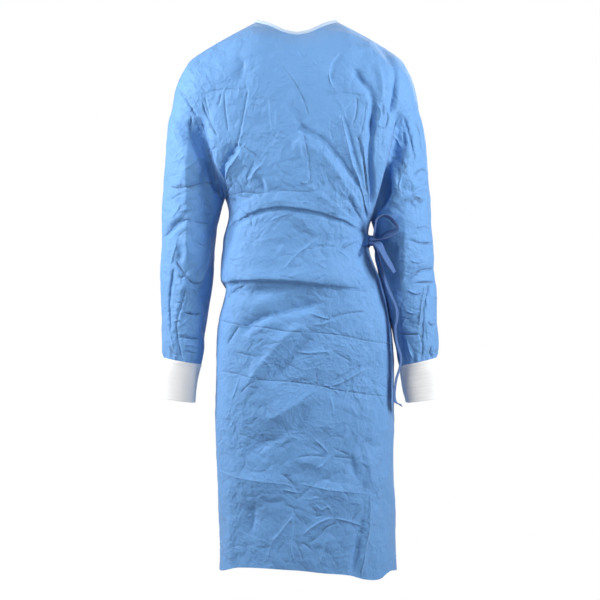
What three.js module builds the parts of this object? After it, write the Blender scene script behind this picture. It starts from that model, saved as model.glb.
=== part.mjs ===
// A disposable surgical gown with long sleeves, filled out as if worn, with nobody in it: a front panel,
// two back panels that lap over each other, sleeves with knitted cuffs, a bound neck, and a waist tie
// knotted in a bow at the wearer's left side.
//
// Millimetres. +Z is up, the front faces -Y, and the wearer's left is +X. The origin is the middle of the
// neck, at the height of its highest edge, where the gown hangs on its wearer.
//
// Every piece of cloth is a wall: a grid of points on its outer face, and the same grid moved in by its
// thickness. Neighbours share their seam points and the direction of the wall there, and then each stops
// short of the seam.
import * as THREE from "three";

const CLOTH = 1.5; // thickness of a wall of cloth
const SEAM_GAP = 0.5; // clear space between two pieces at their seam
const REST_GAP = 0.8; // clear space under what lies on a panel
const LAP_OUT = 2.4; // how far the lapping back panel stands out from the garment's own form
const LAP_IN = -3.0; // and the panel under it, the other way
const LAP_EASE = 0.18; // share of the half back over which a panel moves to its own side of the lap
const NECK_TAPE = 7; // height of the neck binding
const FASTENER = { rows: [1, 2], columns: 4, thickness: 2.2 }; // the patch between the back panels
const ARM_HOLLOW = 14; // how far a sleeve lies back beside the front's fold
const KNOT = { x: 156, y: -51, z: -469, halfX: 6.5, halfY: 7.5, halfZ: 10 };

const ARM_STEPS = 10; // rows from shoulder to underarm, and points along each half of an armhole
const SHOULDER_STEPS = 8; // columns along a shoulder seam
const NECK_STEPS = 4; // columns from the middle of the front to the shoulder seam
const LAP_STEPS = 7; // columns of a back panel from the shoulder seam's inner end to its free edge
const FRONT_STEPS = 2 * (NECK_STEPS + SHOULDER_STEPS);
const NECK_END = NECK_STEPS / (NECK_STEPS + SHOULDER_STEPS); // where the neck ends, 0 being the middle
const ROW_CROWDING = 1.1; // above 1 the rows are closer together at the shoulder
const RING_CROWDING = 1.6; // the same for the points of a sleeve's first ring, fading out over the next few
const CROWDED_RINGS = 5;
const SHOULDER_ROUNDING = 0.38; // share of the way down over which the cloth rounds off the shoulder

const MEAN_UNDERARM = -405;
const MEAN_HEM = -1150;
const UNDERARM = { right: -379, left: -430 };

// The body by height: its right and left sides, and its front and back at the middle. Each side has the
// squareness of its corners, where 2 is an ellipse.
const BODY = [
  { z: -43, right: -152, left: 155, front: -66, back: 64, squareRight: 2.1, squareLeft: 2.1 },
  { z: -80, right: -152, left: 155, front: -85, back: 80, squareRight: 2.1, squareLeft: 2.1 },
  { z: -125, right: -152, left: 155, front: -102, back: 94, squareRight: 2.2, squareLeft: 2.2 },
  { z: -180, right: -152, left: 155, front: -116, back: 104, squareRight: 2.3, squareLeft: 2.3 },
  { z: -240, right: -152, left: 155, front: -125, back: 110, squareRight: 2.4, squareLeft: 2.4 },
  { z: -320, right: -152, left: 155, front: -128, back: 110, squareRight: 2.4, squareLeft: 2.4 },
  { z: -379, right: -152, left: 155, front: -126, back: 107, squareRight: 2.3, squareLeft: 2.3 },
  { z: -400, right: -144, left: 155, front: -125, back: 105, squareRight: 2.3, squareLeft: 2.3 },
  { z: -425, right: -145, left: 155, front: -123, back: 103, squareRight: 2.3, squareLeft: 2.3 },
  { z: -450, right: -150, left: 151, front: -122, back: 100, squareRight: 2.3, squareLeft: 2.3 },
  { z: -484, right: -157, left: 152, front: -122, back: 98, squareRight: 2.4, squareLeft: 2.2 },
  { z: -520, right: -160, left: 163, front: -127, back: 102, squareRight: 2.6, squareLeft: 2.3 },
  { z: -545, right: -160, left: 172, front: -131, back: 106, squareRight: 2.7, squareLeft: 2.4 },
  { z: -557, right: -158, left: 177, front: -132, back: 108, squareRight: 2.8, squareLeft: 2.4 },
  { z: -568, right: -150, left: 180, front: -122, back: 109, squareRight: 2.8, squareLeft: 2.4 },
  { z: -590, right: -154, left: 187, front: -121, back: 113, squareRight: 2.8, squareLeft: 2.4 },
  { z: -612, right: -160, left: 191, front: -122, back: 116, squareRight: 2.9, squareLeft: 2.5 },
  { z: -630, right: -165, left: 195, front: -124, back: 118, squareRight: 2.9, squareLeft: 2.5 },
  { z: -660, right: -168, left: 201, front: -126, back: 120, squareRight: 3.0, squareLeft: 2.5 },
  { z: -720, right: -170, left: 204, front: -130, back: 124, squareRight: 3.1, squareLeft: 2.5 },
  { z: -800, right: -171, left: 204, front: -134, back: 127, squareRight: 3.2, squareLeft: 2.6 },
  { z: -915, right: -171, left: 204, front: -138, back: 131, squareRight: 3.3, squareLeft: 2.6 },
  { z: -1005, right: -166, left: 206, front: -142, back: 135, squareRight: 3.4, squareLeft: 2.7 },
  { z: -1100, right: -163, left: 209, front: -145, back: 140, squareRight: 3.5, squareLeft: 2.8 },
  { z: -1200, right: -162, left: 212, front: -148, back: 145, squareRight: 3.6, squareLeft: 2.8 },
];
// Heights of the rows below the underarm, closer together where the blouse and the first crease are.
const SKIRT_ROWS = [-432, -458, -486, -516, -548, -573, -588, -612, -652, -706, -780, -875, -978, -1075];

// The height of the hem across the gown, from -1 at the right seam to 1 at the left.
const HEMS = {
  front: [
    { across: -1, z: -1155 },
    { across: -0.75, z: -1138 },
    { across: -0.15, z: -1141 },
    { across: 0.16, z: -1147 },
    { across: 0.44, z: -1152 },
    { across: 0.62, z: -1162 },
    { across: 0.78, z: -1164 },
    { across: 0.9, z: -1152 },
    { across: 1, z: -1158 },
  ],
  back: [
    { across: -1, z: -1155 },
    { across: -0.4, z: -1149 },
    { across: 0.4, z: -1151 },
    { across: 1, z: -1158 },
  ],
};

// The neck edge from the middle (0) to its highest point (1), where the shoulder seam starts.
const NECKS = {
  front: [
    { at: 0, x: 0, y: -64, z: -42 },
    { at: 0.35, x: 27, y: -60, z: -36 },
    { at: 0.7, x: 58, y: -41, z: -19 },
    { at: 1, x: 87, y: 2, z: -4 },
  ],
  back: [
    { at: 0, x: 0, y: 62, z: -27 },
    { at: 0.35, x: 29, y: 58, z: -24 },
    { at: 0.7, x: 60, y: 42, z: -14 },
    { at: 1, x: 87, y: 2, z: -4 },
  ],
};
// The shoulder seam from the neck (0) over the shoulder to the top of the armhole (1).
const SHOULDER = [
  { at: 0, right: -87, left: 87, y: 2, z: -4 },
  { at: 0.3, right: -155, left: 155, y: 1, z: -41 },
  { at: 0.58, right: -222, left: 219, y: 0, z: -83 },
  { at: 0.69, right: -239, left: 234, y: 0, z: -106 },
  { at: 0.78, right: -250, left: 244, y: 0, z: -127 },
  { at: 0.87, right: -258, left: 251, y: 0, z: -150 },
  { at: 1, right: -264, left: 258, y: 0, z: -184 },
];
// Each armhole from the top of the sleeve (0) to the underarm (1). Its front runs across the upper arm and
// then down the fold that the front makes over the sleeve.
const ARMHOLES = {
  right: {
    front: [
      { at: 0, x: -264, y: 0, z: -184 },
      { at: 0.16, x: -254, y: -40, z: -190 },
      { at: 0.33, x: -228, y: -69, z: -206 },
      { at: 0.5, x: -191, y: -80, z: -232 },
      { at: 0.6, x: -182, y: -88, z: -266 },
      { at: 0.7, x: -172, y: -88, z: -306 },
      { at: 0.8, x: -163, y: -74, z: -342 },
      { at: 0.9, x: -155, y: -44, z: -366 },
      { at: 0.96, x: -152, y: -18, z: -376 },
      { at: 1, x: -152, y: 0, z: -379 },
    ],
    back: [
      { at: 0, x: -264, y: 0, z: -184 },
      { at: 0.16, x: -256, y: 38, z: -189 },
      { at: 0.33, x: -236, y: 66, z: -204 },
      { at: 0.5, x: -211, y: 80, z: -236 },
      { at: 0.7, x: -187, y: 80, z: -296 },
      { at: 0.87, x: -165, y: 50, z: -352 },
      { at: 1, x: -152, y: 0, z: -379 },
    ],
  },
  left: {
    front: [
      { at: 0, x: 258, y: 0, z: -184 },
      { at: 0.16, x: 250, y: -40, z: -189 },
      { at: 0.33, x: 230, y: -69, z: -203 },
      { at: 0.5, x: 204, y: -82, z: -223 },
      { at: 0.6, x: 196, y: -90, z: -264 },
      { at: 0.7, x: 184, y: -92, z: -314 },
      { at: 0.8, x: 173, y: -80, z: -360 },
      { at: 0.9, x: 163, y: -50, z: -402 },
      { at: 0.96, x: 157, y: -20, z: -423 },
      { at: 1, x: 155, y: 0, z: -430 },
    ],
    back: [
      { at: 0, x: 258, y: 0, z: -184 },
      { at: 0.16, x: 251, y: 38, z: -189 },
      { at: 0.33, x: 235, y: 66, z: -204 },
      { at: 0.5, x: 213, y: 80, z: -238 },
      { at: 0.7, x: 194, y: 84, z: -316 },
      { at: 0.87, x: 173, y: 54, z: -392 },
      { at: 1, x: 155, y: 0, z: -430 },
    ],
  },
};

// Rings down each sleeve below its armhole: the outer and inner points seen from the front, the middle's
// place from front to back, and half the thickness. The last is the seam with the cuff.
const SLEEVES = {
  right: [
    { outX: -271, outZ: -214, inX: -155, inZ: -387, midY: 0, depth: 79 },
    { outX: -277, outZ: -264, inX: -159, inZ: -400, midY: 0, depth: 77 },
    { outX: -281, outZ: -316, inX: -164, inZ: -418, midY: 2, depth: 74 },
    { outX: -283, outZ: -368, inX: -169, inZ: -440, midY: 4, depth: 71 },
    { outX: -286, outZ: -420, inX: -172, inZ: -466, midY: 5, depth: 67 },
    { outX: -287, outZ: -472, inX: -175, inZ: -498, midY: 5, depth: 64 },
    { outX: -288, outZ: -524, inX: -177, inZ: -538, midY: 3, depth: 60 },
    { outX: -287, outZ: -576, inX: -181, inZ: -582, midY: -2, depth: 57 },
    { outX: -287, outZ: -625, inX: -187, inZ: -629, midY: -8, depth: 54 },
    { outX: -286, outZ: -668, inX: -194, inZ: -673, midY: -15, depth: 50 },
    { outX: -284, outZ: -694, inX: -195, inZ: -702, midY: -21, depth: 46 },
    { outX: -280, outZ: -714, inX: -201, inZ: -728, midY: -26, depth: 39 },
  ],
  left: [
    { outX: 263, outZ: -216, inX: 160, inZ: -436, midY: 0, depth: 80 },
    { outX: 273, outZ: -266, inX: 162, inZ: -442, midY: 0, depth: 78 },
    { outX: 279, outZ: -320, inX: 164, inZ: -451, midY: 2, depth: 75 },
    { outX: 282, outZ: -374, inX: 165, inZ: -463, midY: 4, depth: 71 },
    { outX: 284, outZ: -426, inX: 166, inZ: -480, midY: 5, depth: 67 },
    { outX: 288, outZ: -478, inX: 169, inZ: -504, midY: 5, depth: 64 },
    { outX: 291, outZ: -530, inX: 177, inZ: -540, midY: 3, depth: 60 },
    { outX: 294, outZ: -580, inX: 190, inZ: -585, midY: -2, depth: 57 },
    { outX: 296, outZ: -628, inX: 199, inZ: -632, midY: -8, depth: 54 },
    { outX: 298, outZ: -670, inX: 205, inZ: -676, midY: -15, depth: 50 },
    { outX: 297, outZ: -698, inX: 210, inZ: -706, midY: -21, depth: 46 },
    { outX: 292, outZ: -714, inX: 215, inZ: -731, midY: -26, depth: 39 },
  ],
};
// Rings down each cuff below that seam.
const CUFFS = {
  right: [
    { outX: -279, outZ: -742, inX: -207, inZ: -753, midY: -30, depth: 36 },
    { outX: -279, outZ: -770, inX: -211, inZ: -780, midY: -33, depth: 34 },
    { outX: -280, outZ: -799, inX: -214, inZ: -808, midY: -36, depth: 32 },
  ],
  left: [
    { outX: 292, outZ: -742, inX: 218, inZ: -755, midY: -30, depth: 36 },
    { outX: 293, outZ: -770, inX: 222, inZ: -782, midY: -33, depth: 34 },
    { outX: 295, outZ: -799, inX: 229, inZ: -808, midY: -36, depth: 32 },
  ],
};

// Where each back panel's free edge runs, across the back from -1 at the right seam to 1 at the left.
const FREE_EDGES = [
  { z: -25, lapping: 0.14, under: -0.14 },
  { z: -200, lapping: 0.3, under: -0.2 },
  { z: -430, lapping: 0.52, under: -0.28 },
  { z: -700, lapping: 0.62, under: -0.3 },
  { z: -1200, lapping: 0.66, under: -0.32 },
];

// The largest folds of the front: how far each stands out, half its width, and its line of x and z.
const FRONT_FOLDS = [
  {
    fold: "blouse", out: 7, width: 26,
    line: [[-135, -424], [-95, -398], [-40, -386], [20, -392], [80, -408], [128, -436]],
  },
  {
    fold: "under the blouse", out: -7, width: 20,
    line: [[-130, -452], [-85, -424], [-30, -412], [30, -420], [90, -440]],
  },
  {
    fold: "long drag to the tie", out: 8, width: 20,
    line: [[18, -268], [60, -306], [100, -356], [132, -436]],
  },
  {
    fold: "middle drag to the tie", out: 7, width: 15,
    line: [[92, -228], [118, -300], [138, -380], [142, -445]],
  },
  { fold: "hollow by the left arm", out: -7, width: 16, line: [[146, -230], [152, -300], [146, -380]] },
  { fold: "hollow by the right arm", out: -9, width: 24, line: [[-118, -320], [-128, -372]] },
  {
    fold: "upper skirt drag", out: 7, width: 30,
    line: [[70, -600], [10, -650], [-60, -690], [-120, -740]],
  },
  {
    fold: "lower skirt drag", out: 7, width: 32,
    line: [[110, -680], [40, -750], [-30, -820], [-110, -880]],
  },
  { fold: "skirt hollow", out: -6, width: 26, line: [[80, -650], [20, -700], [-40, -752], [-105, -800]] },
  { fold: "packing fold", out: 5, width: 34, line: [[-150, -965], [0, -982], [145, -1000]] },
];

// The ties by rows along them: the middle of the tie, and from there to one of its edges. Rows at the knot
// stop just clear of it.
const LOOP_UPPER = [
  { x: 162.1, y: -54.4, z: -464.2, edgeX: 1, edgeY: 4, edgeZ: 0 },
  { x: 164, y: -70, z: -446, edgeX: 4, edgeY: 11, edgeZ: 0 },
  { x: 168, y: -78, z: -427, edgeX: 4, edgeY: 12, edgeZ: -3 },
  { x: 180, y: -80, z: -421, edgeX: 1, edgeY: 12, edgeZ: -5 },
  { x: 196, y: -80, z: -427, edgeX: -3, edgeY: 12, edgeZ: -4 },
  { x: 207, y: -79, z: -443, edgeX: -5, edgeY: 12, edgeZ: 0 },
  { x: 203, y: -78, z: -454, edgeX: -4, edgeY: 12, edgeZ: 3 },
  { x: 191, y: -74, z: -461, edgeX: -1, edgeY: 11, edgeZ: 3 },
  { x: 178, y: -66, z: -465, edgeX: 0, edgeY: 8, edgeZ: 2 },
  { x: 162.7, y: -55.2, z: -467.2, edgeX: 0, edgeY: 4, edgeZ: 1 },
];
const LOOP_LOWER = [
  { x: 161.9, y: -58.6, z: -473.8, edgeX: 3, edgeY: 0, edgeZ: 2 },
  { x: 173, y: -78, z: -481, edgeX: 9, edgeY: 0, edgeZ: 6 },
  { x: 183, y: -85, z: -499, edgeX: 11, edgeY: 0, edgeZ: 5 },
  { x: 192, y: -88, z: -518, edgeX: 11, edgeY: 0, edgeZ: 4 },
  { x: 198, y: -86, z: -532, edgeX: 11, edgeY: 0, edgeZ: 4 },
  { x: 199, y: -80, z: -535, edgeX: 11, edgeY: 0, edgeZ: 4 },
  { x: 196, y: -75, z: -529, edgeX: 11, edgeY: 0, edgeZ: 4 },
  { x: 185, y: -71, z: -506, edgeX: 10, edgeY: 0, edgeZ: 5 },
  { x: 174, y: -63, z: -485, edgeX: 7, edgeY: 0, edgeZ: 4 },
  { x: 162.9, y: -53.1, z: -475.2, edgeX: 3, edgeY: 0, edgeZ: 2 },
];
const TIE_END = [
  { x: 158.2, y: -53.9, z: -478.4, edgeX: 1, edgeY: 5, edgeZ: 0 },
  { x: 166, y: -57, z: -497, edgeX: 2, edgeY: 10, edgeZ: 0 },
  { x: 176, y: -60, z: -530, edgeX: 2, edgeY: 12, edgeZ: 0 },
  { x: 190, y: -64, z: -574, edgeX: 2, edgeY: 12, edgeZ: 0 },
  { x: 205, y: -68, z: -608, edgeX: 2, edgeY: 12, edgeZ: 0 },
  { x: 207, y: -70, z: -632, edgeX: 2, edgeY: 12, edgeZ: 0 },
  { x: 203, y: -71, z: -652, edgeX: 2, edgeY: 12, edgeZ: 0 },
  { x: 207, y: -72, z: -686, edgeX: 2, edgeY: 12, edgeZ: 0 },
  { x: 215, y: -73, z: -713, edgeX: 2, edgeY: 12, edgeZ: 0 },
  { x: 212, y: -74, z: -734, edgeX: 2, edgeY: 12, edgeZ: 0 },
  { x: 205, y: -74, z: -757, edgeX: 2, edgeY: 12, edgeZ: 0 },
  { x: 201, y: -75, z: -790, edgeX: 2, edgeY: 12, edgeZ: 0 },
  { x: 203, y: -76, z: -805, edgeX: 3, edgeY: 12, edgeZ: 0 },
  { x: 217, y: -76, z: -813, edgeX: 1, edgeY: 11, edgeZ: -2 },
];
// The front and back ties leave the panels' rows here, in columns counted from the wearer's left seam.
const WAIST_ROWS = [ARM_STEPS + 1, ARM_STEPS + 2];
const FRONT_TIE_COLUMNS = [5, 4, 3];
const BACK_TIE_COLUMNS = [5, 4, 3, 2, 1, 0];
const FRONT_TIE_END = { x: 150.5, y: -56.9, z: -469.9, edgeX: 1, edgeY: 1, edgeZ: 6 };
const BACK_TIE_END = { x: 161.6, y: -45, z: -469, edgeX: 0, edgeY: 0, edgeZ: 6 };

const mix = (a, b, t) => a + (b - a) * t;
const clamp = (t, low, high) => Math.min(Math.max(t, low), high);

// Eases from 0 to 1.
function ease(t) {
  const c = clamp(t, 0, 1);
  return c * c * (3 - 2 * c);
}

// One column of a table at a place along its key column: a cubic through each two rows, whose slope at a
// row is that of the line through the rows beside it.
function smooth(rows, key, column, at) {
  const last = rows.length - 1;
  const forward = Math.sign(rows[last][key] - rows[0][key]);
  let i = 0;
  while (i < last - 1 && (rows[i + 1][key] - at) * forward < 0) i += 1;
  const slope = (k) => {
    const before = rows[Math.max(k - 1, 0)];
    const after = rows[Math.min(k + 1, last)];
    return (after[column] - before[column]) / (after[key] - before[key]);
  };
  const step = rows[i + 1][key] - rows[i][key];
  const rise = rows[i + 1][column] - rows[i][column];
  const t = clamp((at - rows[i][key]) / step, 0, 1);
  const bendIn = slope(i) * step - rise;
  const bendOut = rise - slope(i + 1) * step;
  return rows[i][column] + rise * t + t * (1 - t) * (bendIn * (1 - t) + bendOut * t);
}

const pointOf = (rows, at) =>
  new THREE.Vector3(...["x", "y", "z"].map((column) => smooth(rows, "at", column, at)));

const armAt = (k) => (k / ARM_STEPS) ** ROW_CROWDING;

// The top edge of the front or back, neck and shoulder seam in one. across is -1 at the right armhole, 1 at
// the left.
function topEdge(face, across) {
  const away = Math.abs(across);
  if (away <= NECK_END) {
    const p = pointOf(NECKS[face], away / NECK_END);
    p.x *= Math.sign(across);
    return p;
  }
  const along = (away - NECK_END) / (1 - NECK_END);
  const columns = [across < 0 ? "right" : "left", "y", "z"];
  return new THREE.Vector3(...columns.map((column) => smooth(SHOULDER, "at", column, along)));
}

// Half of a body section seen from above: how far to the side, and how far out, both from 0 to 1 of the
// section.
function section(across, square) {
  const side = Math.sin((Math.abs(across) * Math.PI) / 2) ** (2 / (1 + square / 2));
  return { side: Math.sign(across) * side, out: Math.max(1 - side ** square, 0) ** (1 / square) };
}

const squareAt = (across, z) => smooth(BODY, "z", across < 0 ? "squareRight" : "squareLeft", z);

// A point of the body between the shoulders and the underarm: a section from armhole to armhole, bent up to
// meet the top edge. down is 0 at the top edge and 1 at the underarm.
function upperPoint(face, across, down) {
  const sectionAt = (d) => {
    const z = mix(NECKS[face][0].z, MEAN_UNDERARM, d);
    const { side, out } = section(across, squareAt(across, z));
    const edge = pointOf(ARMHOLES.right[face], d).lerp(pointOf(ARMHOLES.left[face], d), (1 + side) / 2);
    edge.y = mix(edge.y, smooth(BODY, "z", face, z), out);
    return edge;
  };
  const p = sectionAt(down);
  const rise = topEdge(face, across).sub(sectionAt(0));
  const near = Math.max(1 - down / SHOULDER_ROUNDING, 0);
  p.x += rise.x * (1 - down) ** 1.5;
  p.y += rise.y * (1 - Math.sqrt(1 - near * near));
  p.z += rise.z * (1 - down);
  return p;
}

// A point of the body below the underarm, at a height between the mean underarm and the mean hem.
function lowerPoint(face, across, height) {
  const share = (height - MEAN_UNDERARM) / (MEAN_HEM - MEAN_UNDERARM);
  const heightAt = (side) =>
    mix(mix(UNDERARM.right, UNDERARM.left, (1 + side) / 2), smooth(HEMS[face], "across", "z", side), share);
  const rough = heightAt(across);
  const { side, out } = section(across, squareAt(across, rough));
  const z = heightAt(side);
  const x = mix(smooth(BODY, "z", "right", z), smooth(BODY, "z", "left", z), (1 + side) / 2);
  return new THREE.Vector3(x, out * smooth(BODY, "z", face, z), z);
}

// Rows of the body from its top edge to its hem, each with its mean height and its point at a place across.
function bodyRows(face) {
  const upper = Array.from({ length: ARM_STEPS + 1 }, (_, k) => ({
    height: mix(NECKS[face][0].z, MEAN_UNDERARM, armAt(k)),
    at: (across) => upperPoint(face, across, armAt(k)),
  }));
  const lower = [...SKIRT_ROWS, MEAN_HEM].map((height) => ({
    height,
    at: (across) => lowerPoint(face, across, height),
  }));
  return [...upper, ...lower];
}

function distanceToLine(x, z, line) {
  let nearest = Infinity;
  for (let i = 0; i < line.length - 1; i += 1) {
    const [ax, az] = line[i];
    const [bx, bz] = line[i + 1];
    const lengthSquared = (bx - ax) ** 2 + (bz - az) ** 2;
    const t = clamp(((x - ax) * (bx - ax) + (z - az) * (bz - az)) / lengthSquared, 0, 1);
    nearest = Math.min(nearest, Math.hypot(x - mix(ax, bx, t), z - mix(az, bz, t)));
  }
  return nearest;
}

// How far the front's folds stand out where x and z are seen from the front: bell-shaped across each fold's
// line.
function foldsOut(x, z) {
  const across = ({ width, line }) => distanceToLine(x, z, line) / width;
  return FRONT_FOLDS.reduce((sum, fold) => sum + fold.out * Math.exp(-(across(fold) ** 2)), 0);
}

// The front runs from the right side to the left. Its folds fade out at the sides and under the neck.
function frontGrid() {
  const NECK_FADE = 60;
  return bodyRows("front").map((row) =>
    Array.from({ length: FRONT_STEPS + 1 }, (_, j) => {
      const across = (2 * j) / FRONT_STEPS - 1;
      const p = row.at(across);
      const fade = (1 - across ** 6) * clamp((NECKS.front[0].z - p.z) / NECK_FADE, 0, 1);
      p.y -= foldsOut(p.x, p.z) * fade;
      return p;
    }),
  );
}

// A back panel runs from its side seam, -1 or 1, past the middle of the back to its free edge. Where the
// panels lap, it stands out from the garment's form, or in.
function backGrid(own, column, otherColumn, stand) {
  const lifts = [];
  const form = bodyRows("back").map((row) => {
    const free = smooth(FREE_EDGES, "z", column, row.height);
    const lapLimit = own * smooth(FREE_EDGES, "z", otherColumn, row.height);
    const places = Array.from({ length: SHOULDER_STEPS + LAP_STEPS + 1 }, (_, j) =>
      j <= SHOULDER_STEPS
        ? mix(own, own * NECK_END, j / SHOULDER_STEPS)
        : mix(own * NECK_END, free, (j - SHOULDER_STEPS) / LAP_STEPS),
    );
    const lapped = (across) => ease((lapLimit + LAP_EASE - own * across) / LAP_EASE);
    lifts.push(places.map((across) => stand * lapped(across)));
    return places.map(row.at);
  });
  const outward = directions(form, -own, false);
  const lifted = (p, i, j) => p.clone().addScaledVector(outward[i][j], lifts[i][j]);
  return form.map((points, i) => points.map((p, j) => lifted(p, i, j)));
}

// A ring of a sleeve, from its outer point by the front to its inner point and back behind. The first rings
// have their points closer together at the outer side, because there they are nearest to the armhole's.
function ring({ outX, outZ, inX, inZ, midY, depth }, index) {
  const crowding = mix(RING_CROWDING, 1, clamp(index / CROWDED_RINGS, 0, 1));
  return Array.from({ length: 2 * ARM_STEPS }, (_, j) => {
    const half = armAt(Math.min(j, 2 * ARM_STEPS - j)) ** crowding;
    const angle = Math.PI * (j <= ARM_STEPS ? half : 2 - half);
    const share = (1 - Math.cos(angle)) / 2;
    return new THREE.Vector3(mix(outX, inX, share), midY - depth * Math.sin(angle), mix(outZ, inZ, share));
  });
}

const armholeRing = (side) =>
  Array.from({ length: 2 * ARM_STEPS }, (_, j) =>
    j <= ARM_STEPS
      ? pointOf(ARMHOLES[side].front, armAt(j))
      : pointOf(ARMHOLES[side].back, armAt(2 * ARM_STEPS - j)),
  );

// A sleeve falls back behind the fold that the front makes over it, between the armhole and its first ring.
function sleeveGrid(side) {
  const armhole = armholeRing(side);
  const rings = SLEEVES[side].map(ring);
  const behindFold = armhole.map((p, j) => {
    const at = j <= ARM_STEPS ? armAt(j) : 0;
    const back = ARM_HOLLOW * ease((at - 0.35) / 0.25) * ease((1 - at) / 0.25);
    return p.clone().lerp(rings[0][j], 0.4).add(new THREE.Vector3(0, back, 0));
  });
  return [armhole, behindFold, ...rings];
}

const cuffGrid = (side) => [SLEEVES[side].at(-1), ...CUFFS[side]].map((row) => ring(row, CROWDED_RINGS));

// The binding stands on the neck edges, from the under panel's free edge round the front to the lapping
// panel's.
function neckGrid(front, lapping, under) {
  const frontNeck = front[0].slice(SHOULDER_STEPS, SHOULDER_STEPS + 2 * NECK_STEPS + 1);
  const foot = [
    ...under[0].slice(SHOULDER_STEPS).reverse(),
    ...frontNeck.reverse().slice(1, -1),
    ...lapping[0].slice(SHOULDER_STEPS),
  ];
  const lean = (p) => new THREE.Vector3(-0.3 * p.x, -0.3 * p.y, 60).normalize();
  return [1, 0.5, 0].map((share) => foot.map((p) => p.clone().addScaledVector(lean(p), NECK_TAPE * share)));
}

// The direction out of the garment at each point. facing is 1 where rows run clockwise seen from above, or
// else -1. A closed grid's last column joins its first.
function directions(grid, facing, closed) {
  const columns = grid[0].length;
  const column = (j) => (closed ? (j + columns) % columns : clamp(j, 0, columns - 1));
  return grid.map((points, i) =>
    points.map((_, j) => {
      const above = grid[Math.max(i - 1, 0)][j];
      const below = grid[Math.min(i + 1, grid.length - 1)][j];
      const alongRow = points[column(j + 1)].clone().sub(points[column(j - 1)]);
      return alongRow.cross(below.clone().sub(above)).normalize().multiplyScalar(facing);
    }),
  );
}

// At each point of a grid's border, the direction square to the border and into the piece. Elsewhere it is
// zero.
function inwardDirections(grid, closed) {
  const lastRow = grid.length - 1;
  const lastColumn = grid[0].length - 1;
  return grid.map((points, i) =>
    points.map((p, j) => {
      const inward = new THREE.Vector3();
      const towards = (q, before, after) => {
        const along = after.clone().sub(before).normalize();
        const step = q.clone().sub(p);
        inward.add(step.addScaledVector(along, -step.dot(along)).normalize());
      };
      const left = closed ? (j + lastColumn) % (lastColumn + 1) : Math.max(j - 1, 0);
      const right = closed ? (j + 1) % (lastColumn + 1) : Math.min(j + 1, lastColumn);
      const above = grid[Math.max(i - 1, 0)][j];
      const below = grid[Math.min(i + 1, lastRow)][j];
      if (i === 0) towards(grid[1][j], points[left], points[right]);
      if (i === lastRow) towards(grid[lastRow - 1][j], points[left], points[right]);
      if (!closed && j === 0) towards(points[1], above, below);
      if (!closed && j === lastColumn) towards(points[lastColumn - 1], above, below);
      return inward;
    }),
  );
}

function clothPiece(part, grid, facing, closed = false) {
  const shift = grid.map((points) => points.map(() => new THREE.Vector3()));
  return { part, grid, closed, shift, outward: directions(grid, facing, closed) };
}

// Pieces that meet at a seam have its points in common. There they take one direction of the wall, in which
// the body, a sleeve and the binding count alike, and each piece is shifted away from the others by half of
// the gap.
function joinSeams(pieces) {
  const meetings = new Map();
  const nameOf = (p) => p.toArray().map((value) => value.toFixed(2)).join(" ");
  for (const { part, grid, closed, outward, shift } of pieces) {
    const inward = inwardDirections(grid, closed);
    grid.forEach((points, i) =>
      points.forEach((p, j) => {
        const name = nameOf(p);
        if (!meetings.has(name)) meetings.set(name, []);
        meetings.get(name).push({ part, outward: outward[i][j], inward: inward[i][j], shift: shift[i][j] });
      }),
    );
  }
  for (const meeting of meetings.values()) {
    if (meeting.length === 1) continue;
    const share = (side) => 1 / meeting.filter((other) => other.part === side.part).length;
    const outward = meeting
      .reduce((sum, side) => sum.addScaledVector(side.outward, share(side)), new THREE.Vector3())
      .normalize();
    const inward = meeting.reduce((sum, side) => sum.add(side.inward), new THREE.Vector3());
    inward.divideScalar(meeting.length);
    for (const side of meeting) {
      side.outward.copy(outward);
      side.shift.copy(side.inward).sub(inward).setLength(SEAM_GAP / 2);
    }
  }
}

// A closed body from a piece of cloth: its outer face, the same face moved in by the thickness, and its
// edges.
function wall({ grid, outward, shift, closed }, thickness = CLOTH) {
  const rows = grid.length;
  const columns = grid[0].length;
  const outer = grid.map((points, i) => points.map((p, j) => p.clone().add(shift[i][j])));
  const movedIn = (p, i, j) => p.clone().addScaledVector(outward[i][j], -thickness);
  const inner = outer.map((points, i) => points.map((p, j) => movedIn(p, i, j)));
  const vertices = [...outer.flat(), ...inner.flat()].flatMap((p) => p.toArray());
  const faces = [];
  const at = (layer, i, j) => (layer * rows + i) * columns + (j % columns);
  const quad = (a, b, c, d) => faces.push(a, b, c, a, c, d);
  const spans = closed ? columns : columns - 1;
  for (let i = 0; i < rows - 1; i += 1) {
    for (let j = 0; j < spans; j += 1) {
      quad(at(0, i, j), at(0, i, j + 1), at(0, i + 1, j + 1), at(0, i + 1, j));
      quad(at(1, i, j), at(1, i + 1, j), at(1, i + 1, j + 1), at(1, i, j + 1));
    }
  }
  for (let j = 0; j < spans; j += 1) {
    quad(at(0, 0, j), at(1, 0, j), at(1, 0, j + 1), at(0, 0, j + 1));
    quad(at(0, rows - 1, j), at(0, rows - 1, j + 1), at(1, rows - 1, j + 1), at(1, rows - 1, j));
  }
  for (let i = 0; i < rows - 1 && !closed; i += 1) {
    quad(at(0, i, 0), at(0, i + 1, 0), at(1, i + 1, 0), at(1, i, 0));
    quad(at(0, i, spans), at(1, i, spans), at(1, i + 1, spans), at(0, i + 1, spans));
  }
  return facingOut(vertices, faces);
}

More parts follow.
